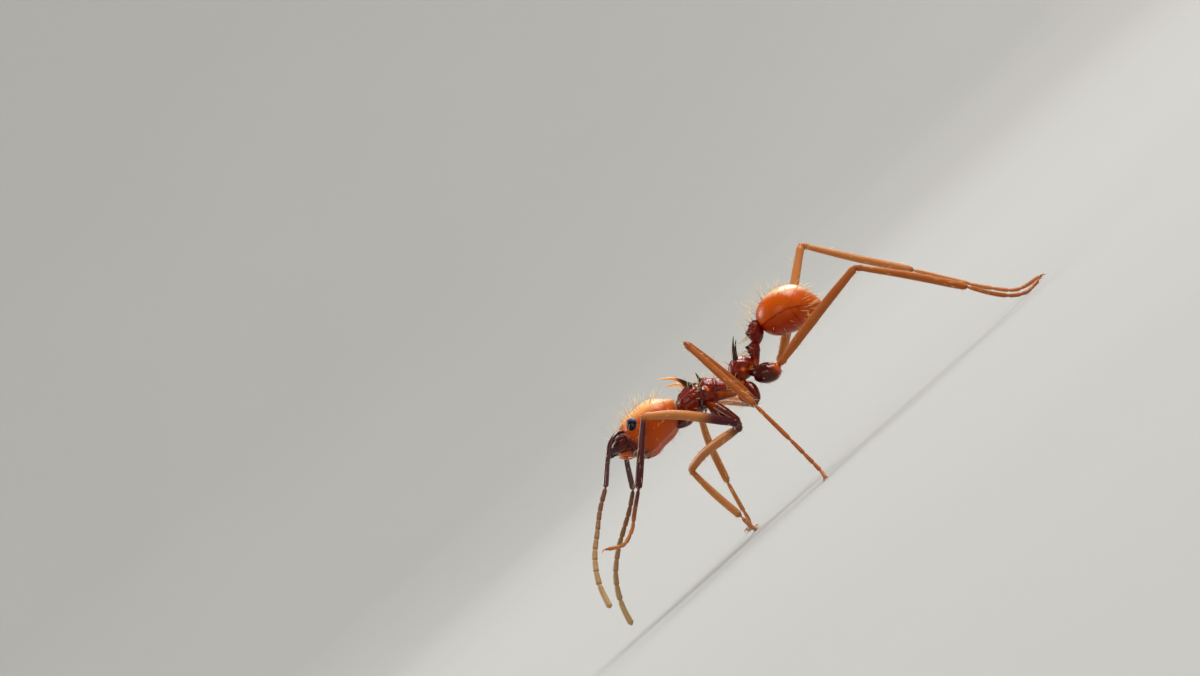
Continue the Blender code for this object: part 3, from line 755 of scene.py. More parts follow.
front = grow("pronotum", PRONOTUM, (2.2, 6.0), 56, 36, slim=0.015)
middle = grow("mesothorax", MESOTHORAX, (4.0, 2.6), 56, 36, slim=0.02)
rear = grow("propodeum", PROPODEUM, (2.6, 2.4), 48, 32, slim=0.015)
rear.data.transform(TRUNK_AXES.inverted() @ PROPODEUM_AXES)
neck = limb("neck", [(-.45, 0, -.05), (0, 0, -.12), (.4, 0, 0)], [(0, .22), (1, .3)], 20)
link = limb("link", [(1.90, 0, -.12), (2.35, 0, -.16)], [(0, .26), (1, .27)], 12)
trunk = weld("trunk", [front, middle, rear, neck, link], 0.017, 6)
carve(
    trunk,
    ([(1.02, 0, .66), (1.00, .30, .55), (.98, .50, .30), (.95, .56, .05), (.88, .45, -.25)], -0.05, 0.10),
    ([(1.52, 0, .46), (1.48, .25, .38), (1.44, .40, .20), (1.36, .42, .0), (1.30, .38, -.2)], -0.03, 0.09),
    ([(2.12, 0, .16), (2.10, .20, .12), (2.06, .34, -.05), (2.0, .34, -.25)], -0.03, 0.10),
    ([(1.10, .46, .02), (1.5, .41, -.06), (2.0, .37, -.20)], -0.022, 0.07),
    ([(.35, .50, .20), (.62, .58, .28), (.86, .55, .36)], 0.04, 0.10),
    ([(.0, .34, -.42), (.3, .42, -.36), (.6, .44, -.28), (.85, .44, -.22)], 0.035, 0.09),
    ([(.10, .42, -.08), (.45, .54, .02), (.80, .56, .06)], -0.03, 0.08),
    ((1.02, .47, .14), (0, .10, .04), 0.22),
    ([(1.16, .16, .58), (1.6, .17, .50), (2.0, .18, .26)], 0.028, 0.07),
    ([(.30, .22, .42), (.60, .30, .58), (.86, .34, .58)], 0.03, 0.09),
    ((.70, .56, .14), (0, .04, 0), 0.14),
    ((.72, .26, .62), (0, .02, .05), 0.16),
    ((1.22, .20, .56), (0, .01, .045), 0.15),
    ([(2.24, .32, .58), (2.41, .33, .47), (2.62, .25, .36), (2.79, .13, .31)], 0.035, 0.09),
    ([(2.24, .38, .36), (2.45, .36, .26), (2.66, .27, .18)], -0.03, 0.09),
    ((1.0, .49, .04), (0, .05, .05), 0.20),
)
apply(trunk, "DISPLACE", texture=lumps("trunk_lumps", 0.26), strength=0.045, mid_level=0.5)
apply(trunk, "DISPLACE", texture=lumps("trunk_grain", 0.07), strength=0.006, mid_level=0.5)

# Amber spots, each with its size: the thin shell's own colour, with painted glow where light shines
# through and painted highlights among them. Then places along the sutures.
AMBER_AND_LIT = [((1.16, .44, -.16), .14), ((1.46, .36, -.22), .19), ((1.78, .33, -.30), .20),
         ((2.34, .30, -.06), .18), ((2.66, .24, .20), .09), ((2.41, .32, .27), .08),
         ((2.76, .18, .06), .10), ((1.20, .44, .16), .07)]
SUTURES = [(.98, .5, .3), (1.0, .3, .55), (1.42, .42, .1), (2.08, .3, 0), (.9, .5, -.2)]


def trunk_dark(p, n):
    # The last term of base is painted shade: darker on faces turned downwards.
    base = 0.22 + 0.25 * ramp(-p[:, 0], -0.9, 0.2) + 0.2 * ramp(-n[:, 2], 0.2, 1.0)
    seams = sum(near_both(p, spot, 0.13) for spot in SUTURES)
    amber = sum(near_both(p, at, size) for at, size in AMBER_AND_LIT)
    return base + 0.6 * seams - 1.0 * amber


def trunk_thin(p, n):
    return 0.9 * sum(near_both(p, at, size * 0.9) for at, size in AMBER_AND_LIT)


paint(trunk, dark=trunk_dark, thin=trunk_thin,
      wet=lambda p, n: ramp(n[:, 2], .3, .9) + near_both(p, (1.0, .49, .04), .2))
settle(trunk, BODY @ TRUNK_AXES, trunk_shell, ["pronotum", "mesothorax", "propodeum"])

# %% [markdown]
# ## The spines
# Three pairs of spines stand on the trunk, with a small low pair beside the neck, and they tell leafcutters
# of this kind from their cousins. A spine is a horn that widens into the plate below it, dark at the foot
# and amber where the tip lets light through. Each is a tapered limb with a flared foot.
# %% Four pairs of spines
SPINES = {
    "pronotal": ([(-2.00, -.32, 4.50), (-2.03, -.37, 4.70), (-2.11, -.46, 4.90), (-2.25, -.57, 5.09),
                  (-2.42, -.65, 5.22), (-2.58, -.70, 5.32)],
                 [(0, .19), (.12, .11), (.25, .072), (.45, .052), (.7, .036), (1, .008)]),
    "mesonotal": ([(-1.67, -.17, 4.40), (-1.65, -.19, 4.58), (-1.63, -.21, 4.72), (-1.60, -.22, 4.83)],
                  [(0, .14), (.3, .07), (.6, .036), (1, .008)]),
    "propodeal": ([(-.52, -.18, 4.18), (-.44, -.21, 4.34), (-.34, -.25, 4.52), (-.20, -.29, 4.70),
                   (-.03, -.33, 4.87)],
                  [(0, .19), (.18, .105), (.38, .062), (.65, .038), (1, .008)]),
}
spines = []
for name, (points, profile) in SPINES.items():
    for side in (1, -1):
        spines.append(limb(name, [(x, y * side, z) for x, y, z in points], profile, 40))
LOW_SPINE = [(.88, .38, -.08), (.83, .48, -.19), (.79, .53, -.28), (.76, .55, -.36)]
for side in (1, -1):
    low = [TRUNK_AXES @ Vector((x, y * side, z)) for x, y, z in LOW_SPINE]
    spines.append(limb("low_pronotal", low, [(0, .10), (.35, .05), (.7, .027), (1, .008)], 24))
spines = fuse("trunk_spines", spines)


def tip(p, n=None):
    """1 towards the tips of the front pair."""
    return ramp(-p[:, 0], 2.06, 2.26) * (p[:, 2] > 4.5)


paint(spines, dark=lambda p, n: 0.95 - 1.1 * tip(p) - 0.1 * ramp(p[:, 2], 4.6, 4.9), thin=tip)
settle(spines, BODY, spine_shell)

# %% [markdown]
# ## The waist
# Two small knots, the petiole and the postpetiole, join the trunk to the gaster and let it swing. Both
# carry blunt teeth on top. They are grown like the other plates and pulled into shape.
# %% Petiole and postpetiole
PETIOLE = [(-.30, -.01, .10, .12), (-.16, 0, .12, .14), (.10, .02, .14, .15), (.28, .05, .17, .19),
           (.45, .09, .22, .22), (.66, .03, .14, .17)]
POSTPETIOLE = [(-.06, 0, .13, .18), (.15, .03, .22, .26), (.28, .06, .27, .31), (.45, .04, .23, .30),
               (.70, .03, .18, .24)]
petiole = grow("petiole_knot", PETIOLE, (4, 3), 48, 36, slim=0.008)
carve(
    petiole,
    ((.45, .08, .31), (-.01, .03, .075), 0.10),
    ((.30, .10, .20), (-.02, .02, .045), 0.08),
    ((.60, .08, .14), (0, .01, .03), 0.07),
    ([(.12, 0, .16), (.12, .12, .08), (.12, .14, -.03)], -0.015, 0.06),
    ([(-.05, .13, .02), (.3, .2, .02), (.55, .18, .03)], 0.018, 0.05),
)
apply(petiole, "SUBSURF", levels=1, render_levels=1)
apply(petiole, "DISPLACE", texture=lumps("waist_lumps", 0.08), strength=0.03, mid_level=0.5)
paint(petiole, dark=lambda p, n: 0.25 + 0.5 * ramp(p[:, 2], .1, .3) - 0.4 * near_both(p, (-.05, .14, 0), .12),
      thin=lambda p, n: 0.7 * near_both(p, (0, .14, -.05), .14))
settle(petiole, BODY @ PETIOLE_AXES, waist_shell, ["petiole"])

postpetiole = grow("postpetiole_knot", POSTPETIOLE, (3, 4), 56, 40, slim=0.008)
carve(
    postpetiole,
    ((.30, .12, .31), (-.02, .03, .06), 0.10),
    ((.50, .16, .22), (.02, .03, .045), 0.08),
    ((.28, .31, .06), (0, .03, .01), 0.12),
    ([(.60, 0, .20), (.60, .18, .12), (.60, .24, -.02), (.60, .16, -.14)], -0.02, 0.06),
    ([(.10, 0, .20), (.3, 0, .32), (.5, 0, .26)], -0.025, 0.07),
)
apply(postpetiole, "SUBSURF", levels=1, render_levels=1)
apply(postpetiole, "DISPLACE", texture=lumps("knot_lumps", 0.09), strength=0.03, mid_level=0.5)
paint(postpetiole, dark=lambda p, n: 0.28 + 0.35 * ramp(p[:, 2], .1, .3) + 0.2 * ramp(p[:, 0], .4, .7),
      thin=lambda p, n: 0.3 * near_both(p, (.2, .25, -.1), .12))
settle(postpetiole, BODY @ POSTPETIOLE_AXES, waist_shell, ["postpetiole"])

# %% [markdown]
# ## The gaster
# The gaster is the round end of the ant. Its first back plate covers most of it, its first belly plate
# closes it below, and the later rings stick out of them like the tubes of a telescope. One ball is grown,
# straight cuts mark the plate edges, and the faces in front of each cut are raised about a hundredth of a
# millimetre. That gives true stepped edges on one closed shell.
# %% The gaster and its overlapping plates
GASTER = [(-.05, -.02, .80, .86), (.20, -.01, .79, .84), (.45, .01, .76, .83), (.78, .06, .73, .82),
          (1.12, .09, .71, .80), (1.44, .11, .64, .72), (1.71, .09, .50, .56), (1.98, .06, .36, .40)]
# A place (x, z) on each cut and its normal (x, z). What is in front of the cut lies against the normal.
CUTS = {
    "first_back": ((1.10, .10), (.908, -.418)), "second_back": ((1.50, .30), (.93, -.36)),
    "third_back": ((1.74, .22), (.95, -.30)), "first_belly": ((1.16, -.26), (.872, .489)),
    "second_belly": ((1.42, -.26), (.80, .60)), "third_belly": ((1.66, -.18), (.78, .62)),
    "side_front": ((.86, -.07), (.286, -.958)), "side_rear": ((1.02, -.05), (.06, -.998)),
}


def beyond(name, places):
    """How far places lie past a cut."""
    (x, z), (nx, nz) = CUTS[name]
    return (places[:, 0] - x) * nx + (places[:, 2] - z) * nz


def in_front(places):
    return places[:, 0] < 1.02


def is_back(places):
    """True above the seam along the side, which bends where the two side cuts meet."""
    return np.where(in_front(places), beyond("side_front", places), beyond("side_rear", places)) < 0


def raise_plate(obj, inside, height):
    mark(obj, inside)
    bpy.ops.mesh.extrude_region_shrink_fatten(TRANSFORM_OT_shrink_fatten={"value": height})


gaster = grow("gaster_shell", GASTER, (2.0, 2.0), 120, 84, slim=0.028)
edit(gaster, "FACE")
for (x, z), (nx, nz) in CUTS.values():
    bpy.ops.mesh.select_all(action="SELECT")
    bpy.ops.mesh.bisect(plane_co=(x, 0, z), plane_no=(nx, 0, nz), threshold=1e-5)
for ring, height in (("third", 0.007), ("second", 0.007), ("first", 0.005)):
    raise_plate(gaster,
                lambda p: np.where(is_back(p), beyond(f"{ring}_back", p), beyond(f"{ring}_belly", p)) < 0,
                height)
raise_plate(gaster, lambda p: is_back(p) & (beyond("first_back", p) < 0), 0.005)
bpy.ops.mesh.select_mode(type="VERT")
pull(gaster, (1.02, .80, -.05), (-.10, .0, .0), 0.32)
pull(gaster, (-.02, 0, .1), (-.03, 0, 0), 0.3)
done()
in_order(gaster, lambda v: v.co[:])
apply(gaster, "BEVEL", width=0.004, segments=2, limit_method="ANGLE", angle_limit=math.radians(40))
in_order(gaster, lambda v: v.co[:])


def gaster_dark(p, n):
    weight = {"back": is_back(p) * 1.0, "belly": ~is_back(p) * 1.0, "front": in_front(p) * 1.8,
              "rear": ~in_front(p) * 1.8}
    seams = sum(np.exp(-(beyond(cut, p) / 0.026) ** 2) * weight[cut.split("_")[1]] for cut in CUTS)
    # Painted shade: darker towards the bottom and the front, and on the belly plate below the side seam.
    shade = 0.30 * ramp(-p[:, 2], -.05, .55) + 0.3 * ramp(-p[:, 0], -.25, .05)
    belly = 0.30 * ramp(beyond("side_front", p), -.03, .02) * ramp(-p[:, 0], -1.6, -.9)
    return (0.26 - 0.20 * ramp(p[:, 2], .0, .4)) * np.clip(seams, 0, 1.8) + shade + belly


def gaster_thin(p, n):
    # Painted highlight: paler towards the top. The rear tip is paler too.
    return 0.90 * ramp(p[:, 2], .22, .80) + 0.25 * ramp(p[:, 0], 1.5, 1.9)


paint(gaster, dark=gaster_dark, thin=gaster_thin, wet=lambda p, n: ramp(n[:, 2], .35, .95))
settle(gaster, BODY @ GASTER_AXES, gaster_shell, ["gaster"], sharp=50)

# %% [markdown]
# ## The legs
# Each leg has a coxa at the trunk, a small trochanter, a long femur, a thinner tibia with a spur or two,
# and a foot of five joints with two claws. A leg is one bent line through its joints. The radius changes
# along it: swollen at the coxa, narrow at each hinge and stepped at the joints of the foot.
# %% The lines of the legs
FOOT_Z, ANKLE_Z, SOLE_DROP = 0.20, 1.2, 0.135
IN_TRUNK = 0.24  # how far a coxa starts inside the trunk


def linked(**parts):
    """The parts of a limb. Each one starts where the part before it ends."""
    last = []
    for points in parts.values():
        points[:0] = last
        last = points[-1:]
    return parts


LEGS = {
    "front_left": linked(
        coxa=[(-1.92, -.30, 3.86), (-1.76, -.44, 3.34), (-1.62, -.60, 2.84)],
        femur=[(-2.25, -.90, 3.62), (-2.95, -1.15, 4.38), (-3.64, -1.38, 4.92)],
        tibia=[(-4.29, -1.36, 4.28), (-5.20, -1.18, 3.38)],
        tarsus=[(-5.73, -1.10, 2.96), (-6.16, -1.02, 2.60), (-6.60, -.96, 2.44), (-7.08, -.90, 2.66)]),
    "front_right": linked(
        coxa=[(-1.93, .30, 3.80), (-1.78, .44, 3.26), (-1.64, .60, 2.72)],
        femur=[(-2.35, 1.25, 2.80), (-3.05, 1.86, 2.82), (-3.66, 2.40, 2.70)],
        tibia=[(-3.60, 2.08, 1.80), (-3.44, 1.62, .66)],
        tarsus=[(-3.42, 2.15, .36), (-3.38, 2.75, FOOT_Z), (-3.32, 3.75, FOOT_Z)]),
    "mid_left": linked(
        coxa=[(-.72, -.22, 3.62), (-.70, -.42, 3.32), (-.84, -.62, 2.96)],
        femur=[(-.95, -1.25, 3.88), (-1.12, -1.95, 4.92), (-1.27, -2.55, 5.72)],
        tibia=[(-1.12, -2.75, 4.40), (-.94, -2.90, 3.00)],
        tarsus=[(-.86, -3.00, 1.90), (-.80, -3.14, .90), (-.78, -3.40, .34), (-.82, -3.85, FOOT_Z)]),
    "mid_right": linked(
        coxa=[(-.98, .22, 3.56), (-.92, .42, 3.24), (-.84, .62, 2.92)],
        femur=[(-1.25, 1.50, 3.40), (-1.70, 2.35, 3.82), (-2.14, 3.20, 4.10)],
        tibia=[(-2.62, 3.95, 3.08), (-3.06, 4.70, 1.60)],
        tarsus=[(-3.22, 5.15, .92), (-3.34, 5.60, .40), (-3.44, 6.05, FOOT_Z), (-3.56, 6.70, FOOT_Z)]),
    "hind_left": linked(
        coxa=[(-.32, -.28, 3.70), (-.08, -.46, 3.49), (.16, -.56, 3.38), (.44, -.62, 3.38)],
        femur=[(1.60, -.96, 3.64), (2.85, -1.32, 3.88), (4.02, -1.62, 4.08)],
        tibia=[(4.90, -1.42, 3.04), (6.17, -1.00, 1.40)],
        tarsus=[(6.62, -.62, .80), (7.05, -.10, .40), (7.50, .55, FOOT_Z), (7.98, 1.30, FOOT_Z)]),
    "hind_right": linked(
        coxa=[(-.30, .28, 3.66), (-.06, .46, 3.45), (.18, .56, 3.35), (.48, .64, 3.38)],
        femur=[(1.18, 1.02, 3.86), (2.30, 1.62, 4.76), (3.37, 2.20, 5.60)],
        tibia=[(4.20, 2.28, 4.42), (5.44, 2.40, 2.76)],
        tarsus=[(6.20, 2.46, 1.66), (6.85, 2.50, .84), (7.40, 2.54, .36), (8.22, 2.62, FOOT_Z)]),
}
SHAPES = {
    "front_coxa": [(0, .17), (.15, .21), (.5, .20), (.8, .165), (.95, .14), (1, .12)],
    "mid_coxa": [(0, .17), (.3, .21), (.7, .19), (.95, .14), (1, .12)],
    "hind_coxa": [(0, .14), (.18, .26), (.42, .325), (.66, .315), (.85, .22), (.95, .15), (1, .13)],
    "femur": [(0, .11), (.028, .135), (.055, .125), (.072, .108), (.10, .118), (.2, .142), (.42, .155),
              (.75, .138), (.92, .122), (.965, .128), (1, .115)],
    "tibia": [(0, .10), (.03, .108), (.07, .085), (.13, .095), (.5, .118), (.85, .120), (.96, .11), (1, .08)],
}
JOINTS = {"foot": [0, .44, .61, .73, .82, 1.0],
          "feeler": [0, .115, .19, .265, .345, .425, .51, .60, .695, .80, 1.0]}


def jointed(edges, thick, pinch=0.62, flare=0.9):
    """Radii of a row of joints: each is narrow at its foot and widest near its end."""
    rows = []
    for a, b in zip(edges[:-1], edges[1:]):
        r, span = np.interp((a + b) / 2, *zip(*thick)), b - a
        rows += [(a + 0.001, r * pinch), (a + 0.12 * span, r * flare), (a + 0.55 * span, r),
                 (b - 0.10 * span, r * 1.06), (b, r * pinch)]
    return rows


def sole(points):
    """Bring a thin foot down to the floor that its thicker solid stands on, from the ankle on."""
    return [(x, y, z - SOLE_DROP * min(1.0, max(0.0, ANKLE_Z - z))) for x, y, z in points]


# %% Six legs
def horn(name, path, thick):
    """A small claw or spur, thick at its foot and sharp at its tip."""
    return limb(name, path, [(0, thick), (.5, .02 if name == "spur" else .021), (1, .004)], 14, 2)


def claws(points):
    """Two claws and the pad between them, at the end of a foot."""
    end, before = Vector(points[-1]), Vector(points[-2])
    ahead = (end - before).normalized()
    aside = ahead.cross(Vector((0, 0, 1))).normalized()
    down = ahead.cross(aside).normalized() * (1 if ahead.cross(aside).z < 0 else -1)
    made = []
    for side in (1, -1):
        path = [end - ahead * .05, end + ahead * .05 + aside * side * .05 - down * .02,
                end + ahead * .13 + aside * side * .085 + down * .01,
                end + ahead * .17 + aside * side * .08 + down * .055]
        made.append(horn("claw", [(p.x, p.y, max(p.z, 0.012)) for p in path], .03))
    pad = end + ahead * 0.06
    path = [end - ahead * .02, (pad.x, pad.y, max(pad.z, .035))]
    return made + [limb("pad", path, [(0, .03), (1, .032)], 5, 2)]


def spurs(points, foot, sides):
    """Spurs at the end of a shin, which lean towards the foot."""
    end = Vector(points[-1])
    ahead, under = (end - Vector(points[-2])).normalized(), (Vector(foot) - end).normalized()
    return [horn("spur", [end - ahead * .06, end + ahead * .10 + under * .05 + Vector((0, .07 * side, -.04)),
                          end + under * .22 + Vector((0, .08 * side, -.05))], .032) for side in sides]


def leg_dark(leg, part, step):
    """How dark each point of a leg is, from how far along its part it lies."""
    if leg == "front_left":
        return {"coxa": 0.35 + 0.3 * step + .15, "femur": 0.95 * ramp(-step, -.55, -.15) + .10,
                "tibia": .92 - 0.5 * ramp(-step, -.12, 0), "tarsus": 0.75 * ramp(-step, -.8, .0)}[part]
    # A hind coxa is lighter at its end: painted light shining through.
    if "hind" in leg and part == "coxa":
        return 0.72 - 0.6 * ramp(step, .66, .95)
    if "hind" in leg and part == "femur":
        return 0.12 + 0.2 * ramp(step, .95, 1.0)
    return {"coxa": 0.35 + 0.3 * step, "tarsus": 0.12 + 0.2 * step,
            "femur": 0.55 * ramp(-step, -.30, .0) + 0.25 * ramp(step, .95, 1.0) + .12,
            "tibia": 0.3 * ramp(-step, -.10, .0) + 0.35 * ramp(step, .93, 1.0) + .10}[part]


def leg_thin(leg, part, step):
    """Painted light shining through: the right legs and the raised one are paler all along, and a hind coxa
    at its end.
    """
    thin = np.full(len(step), 0.6 if "right" in leg or leg == "front_left" else 0.3)
    return thin + 0.7 * ramp(step, .74, .98) if part == "coxa" and "hind" in leg else thin


for leg, chain in LEGS.items():
    coxa = limb(f"coxa_{leg}", chain["coxa"], SHAPES[leg.split("_")[0] + "_coxa"], 30, 6, (IN_TRUNK, 0))
    apply(coxa, "SUBSURF", levels=1, render_levels=1)
    femur = limb(f"femur_{leg}", chain["femur"], SHAPES["femur"], 90, 5, (0.03, 0.09))
    tibia = limb(f"tibia_{leg}", chain["tibia"], SHAPES["tibia"], 70, 5, (0.09, 0))
    tibia = fuse(f"tibia_{leg}",
                 [tibia] + spurs(chain["tibia"], chain["tarsus"][1], (1,) if "front" in leg else (1, -1)))
    path = chain["tarsus"] if leg == "front_left" else sole(chain["tarsus"])
    foot = limb("tarsus", path, jointed(JOINTS["foot"], [(0, .072), (.5, .064), (1, .06)]), 110, 4)
    foot = fuse(f"tarsus_{leg}", [foot] + claws(path))
    for part, piece in (("coxa", coxa), ("femur", femur), ("tibia", tibia), ("tarsus", foot)):
        step = steps(piece.data)
        paint(piece, dark=lambda p, n: leg_dark(leg, part, step), thin=lambda p, n: leg_thin(leg, part, step))
        finish, slot = (coxa_shell, "coxa") if part == "coxa" else (leg_shell, "leg")
        settle(piece, STANCE, finish, [f"{leg}_{part}"])

# %% [markdown]
# ## The feelers
# An ant's feeler bends at an elbow. The first joint, the scape, is long, curved and polished. Ten short
# joints follow it, each a little cup that holds the next. They take the same jointed line as the feet.
# %% Scapes and jointed ends
FEELERS = {
    "left": linked(
        scape=[(-4.30, -.38, 4.90), (-4.57, -.62, 5.05), (-4.87, -.78, 4.99), (-5.27, -.90, 4.68),
               (-5.90, -1.02, 4.07)],
        funiculus=[(-6.44, -1.30, 3.70), (-6.92, -1.64, 3.28), (-7.50, -2.10, 2.74), (-7.90, -2.50, 2.10),
                   (-8.12, -2.82, 1.34)]),
    "right": linked(
        scape=[(-4.30, .42, 4.82), (-4.52, .86, 4.74), (-4.82, 1.18, 4.36), (-5.36, 1.40, 3.42)],
        funiculus=[(-5.88, 1.32, 3.02), (-6.36, 1.18, 2.72), (-6.88, 1.02, 2.38), (-7.46, .84, 1.84),
                   (-7.90, .66, 1.04), (-8.06, .52, .42)]),
}
SCAPE = [(0, .07), (.03, .075), (.06, .048), (.12, .056), (.4, .070), (.8, .088), (.96, .09), (1, .065)]
RINGS = jointed(JOINTS["feeler"], [(0, .07), (.4, .076), (.85, .092), (1, .085)], .66, .92)
for side, chain in FEELERS.items():
    scape = limb(f"scape_{side}", chain["scape"], SCAPE, 70, 5)
    step = steps(scape.data)
    paint(scape, dark=lambda p, n: 0.95 - 0.3 * step, thin=lambda p, n: 0 * step)
    settle(scape, STANCE, scape_shell, [f"antenna_{side}_scape"])
    whip = limb(f"feeler_{side}", chain["funiculus"], RINGS, 170, 5)
    step = steps(whip.data)
    paint(whip, dark=lambda p, n: 0.55 - 0.7 * step, thin=lambda p, n: 0.1 + 0.6 * step)
    settle(whip, STANCE, feeler_shell, [f"antenna_{side}_funiculus"])

# %% [markdown]
# ## Hairs
# The ant carries a few hundred stiff golden hairs, and its feet and feelers have a fine down. Particle hair
# would vanish in an export, so one bristle is modelled, a three-sided spike, and laid many times as solid
# mesh. Where a hair grows is drawn by chance from a fixed seed, weighted by how hairy each place is, and no
# two stand too close.
# %% One bristle
bpy.ops.mesh.primitive_circle_add(vertices=3, radius=1.0, fill_type="NGON")
bristle = bpy.context.object
bristle.name = "bristle"
edit(bristle, "EDGE", every=True)
WIDTHS = (1.0, 0.92, 0.80, 0.62, 0.38, 0.10)
for before, size in zip(WIDTHS[:-1], WIDTHS[1:]):
    bpy.ops.mesh.extrude_region_move(TRANSFORM_OT_translate={"value": (0, 0, 0.2)})
    bpy.ops.transform.resize(value=(size / before, size / before, 1), center_override=(0, 0, 0))
bpy.ops.mesh.select_all(action="SELECT")
bpy.ops.mesh.normals_make_consistent(inside=False)
bpy.ops.mesh.quads_convert_to_tris()
done()
BRISTLE = points_of(bristle)[0]
BRISTLE_FACES = np.array([p.vertices[:] for p in bristle.data.polygons])
bpy.data.objects.remove(bristle)
print("one bristle:", len(BRISTLE_FACES), "faces")

# %% Where bristles grow
def even(count):
    """The same density everywhere, in hairs for each square millimetre."""
    return lambda p, n: np.full(len(p), float(count))


def roots(skin, place, density, gap, rng):
    """Places and outward directions in the plate's millimetres, and spots on its unwrapped shape."""
    mesh = skin.data
    mesh.calc_loop_triangles()
    corners = np.array([t.vertices[:] for t in mesh.loop_triangles])
    back = np.array((Matrix.Scale(MM, 4) @ place).inverted())
    points = points_of(skin)[0] @ back[:3, :3].T + back[:3, 3]
    a, b, c = (points[corners[:, k]] for k in range(3))
    cross = np.cross(b - a, c - a) * (1 if place.determinant() > 0 else -1)
    area = np.linalg.norm(cross, axis=1) / 2
    out = unit(cross)
    count = rng.poisson(area * np.maximum(0, density((a + b + c) / 3, out)))
    pick = np.repeat(np.arange(len(corners)), count)
    u, v = rng.random(len(pick)), rng.random(len(pick))
    over = u + v > 1
    u[over], v[over] = 1 - u[over], 1 - v[over]
    spots = a[pick] + (b - a)[pick] * u[:, None] + (c - a)[pick] * v[:, None]
    keep, order = [], rng.permutation(len(pick))
    for i in order:
        if not keep or np.linalg.norm(spots[keep] - spots[i], axis=1).min() > gap:
            keep.append(i)
    keep = np.array(keep, int)
    spots, out = spots[keep], out[pick][keep]
    if "along" in mesh.attributes:
        first = steps(mesh)[corners[pick[keep], 0]]
        aside = np.arctan2(out[:, 1], out[:, 2]) / (2 * math.pi) + 0.5
    else:
        low, high = points[:, 0].min(), points[:, 0].max()
        first = (spots[:, 0] - low) / (high - low)
        aside = np.arctan2(spots[:, 1], spots[:, 2] - points[:, 2].mean()) / (2 * math.pi) + 0.5
    return spots, out, np.stack([first, aside], axis=1)


# %% Laying bristles
SUNK = 0.012  # a hair's foot lies this deep in the shell
PATCH = 0.0015  # half the width of one hair on the OFBake map


def lay(name, groups, finish, seed):
    """One coat piece. Each group: (skin, place, density, gap, length, thickness, stand, lie, bend)."""
    rng = np.random.default_rng(seed)
    verts, tips, maps, tiles = [], [], [], math.ceil(math.sqrt(len(groups)))
    for k, (skin, place, density, gap, length, thick, stand, lie, bend) in enumerate(groups):
        spots, out, flat = roots(skin, place, density, gap, rng)
        n = len(spots)
        if not n:
            continue
        lean = unit(np.tile(np.array(lie, float), (n, 1)))
        lean = unit(lean - out * (lean * out).sum(axis=1, keepdims=True) + 1e-6)
        first = unit(out * stand + lean * (1 - stand) + rng.normal(0, 0.10, (n, 3)))
        side = unit(np.cross(first, lean))
        up = np.cross(first, side)
        long = (length(spots, out) if callable(length) else length) * rng.uniform(0.7, 1.15, n)
        wide = thick * rng.uniform(0.8, 1.15, n)
        h = BRISTLE[:, 2]
        curved = h[None, :, None] * first[:, None] + (bend * h**2)[None, :, None] * lean[:, None]
        spine = (spots - out * SUNK)[:, None] + long[:, None, None] * curved
        around = BRISTLE[None, :, 0, None] * side[:, None] + BRISTLE[None, :, 1, None] * up[:, None]
        body = spine + wide[:, None, None] * around
        m = np.array(place)
        verts.append((body.reshape(-1, 3) @ m[:3, :3].T + m[:3, 3]) * MM)
        tips.append(np.tile(h, n))
        corner = np.array([k % tiles, k // tiles])
        at = (corner + 0.04 + 0.92 * flat) / tiles
        patch = unit(BRISTLE[:, :2]) * (PATCH * (1 - 0.75 * h))[:, None]
        maps.append((at[:, None] + patch[None]).reshape(-1, 2))
    verts, tips, maps = np.concatenate(verts), np.concatenate(tips), np.concatenate(maps)
    verts[:, 2] = np.maximum(verts[:, 2], 0.0)
    count = len(verts) // len(BRISTLE)
    faces = (BRISTLE_FACES[None] + (np.arange(count) * len(BRISTLE))[:, None, None]).reshape(-1, 3)
    mesh = bpy.data.meshes.new(name)
    mesh.from_pydata(verts.tolist(), [], faces.tolist())
    coat = bpy.data.objects.new(name, mesh)
    bpy.context.scene.collection.objects.link(coat)
    mesh.attributes.new("tip", "FLOAT", "POINT").data.foreach_set("value", tips.astype(np.float32))
    flat = maps[faces.reshape(-1)].astype(np.float32).reshape(-1)
    mesh.uv_layers.new(name="OFBake").data.foreach_set("uv", flat)
    only(coat)
    bpy.ops.object.shade_smooth()
    mesh.materials.append(finish)
    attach(coat, "root")
    print(f"{name}: {count} hairs, {len(faces)} triangles")


def hair_finish(name, root, tip):
    f = Finish(name)
    fade = f.channel("tip").between(0.0, 0.9) + (f.noise(f.place(), 5.0) - 0.5) * 0.3
    f.set(Base_Color=f.mix(fade, root, tip), Roughness=0.38, Subsurface_Weight=0.3,
          Subsurface_Scale=0.00005, Subsurface_Radius=(1.0, 0.6, 0.25), Coat_Weight=0.3)
    return f.material


golden_hair = hair_finish("golden_hair", rgb(200, 134, 58), rgb(246, 216, 150))
down_hair = hair_finish("down_hair", rgb(206, 142, 84), rgb(240, 206, 160))

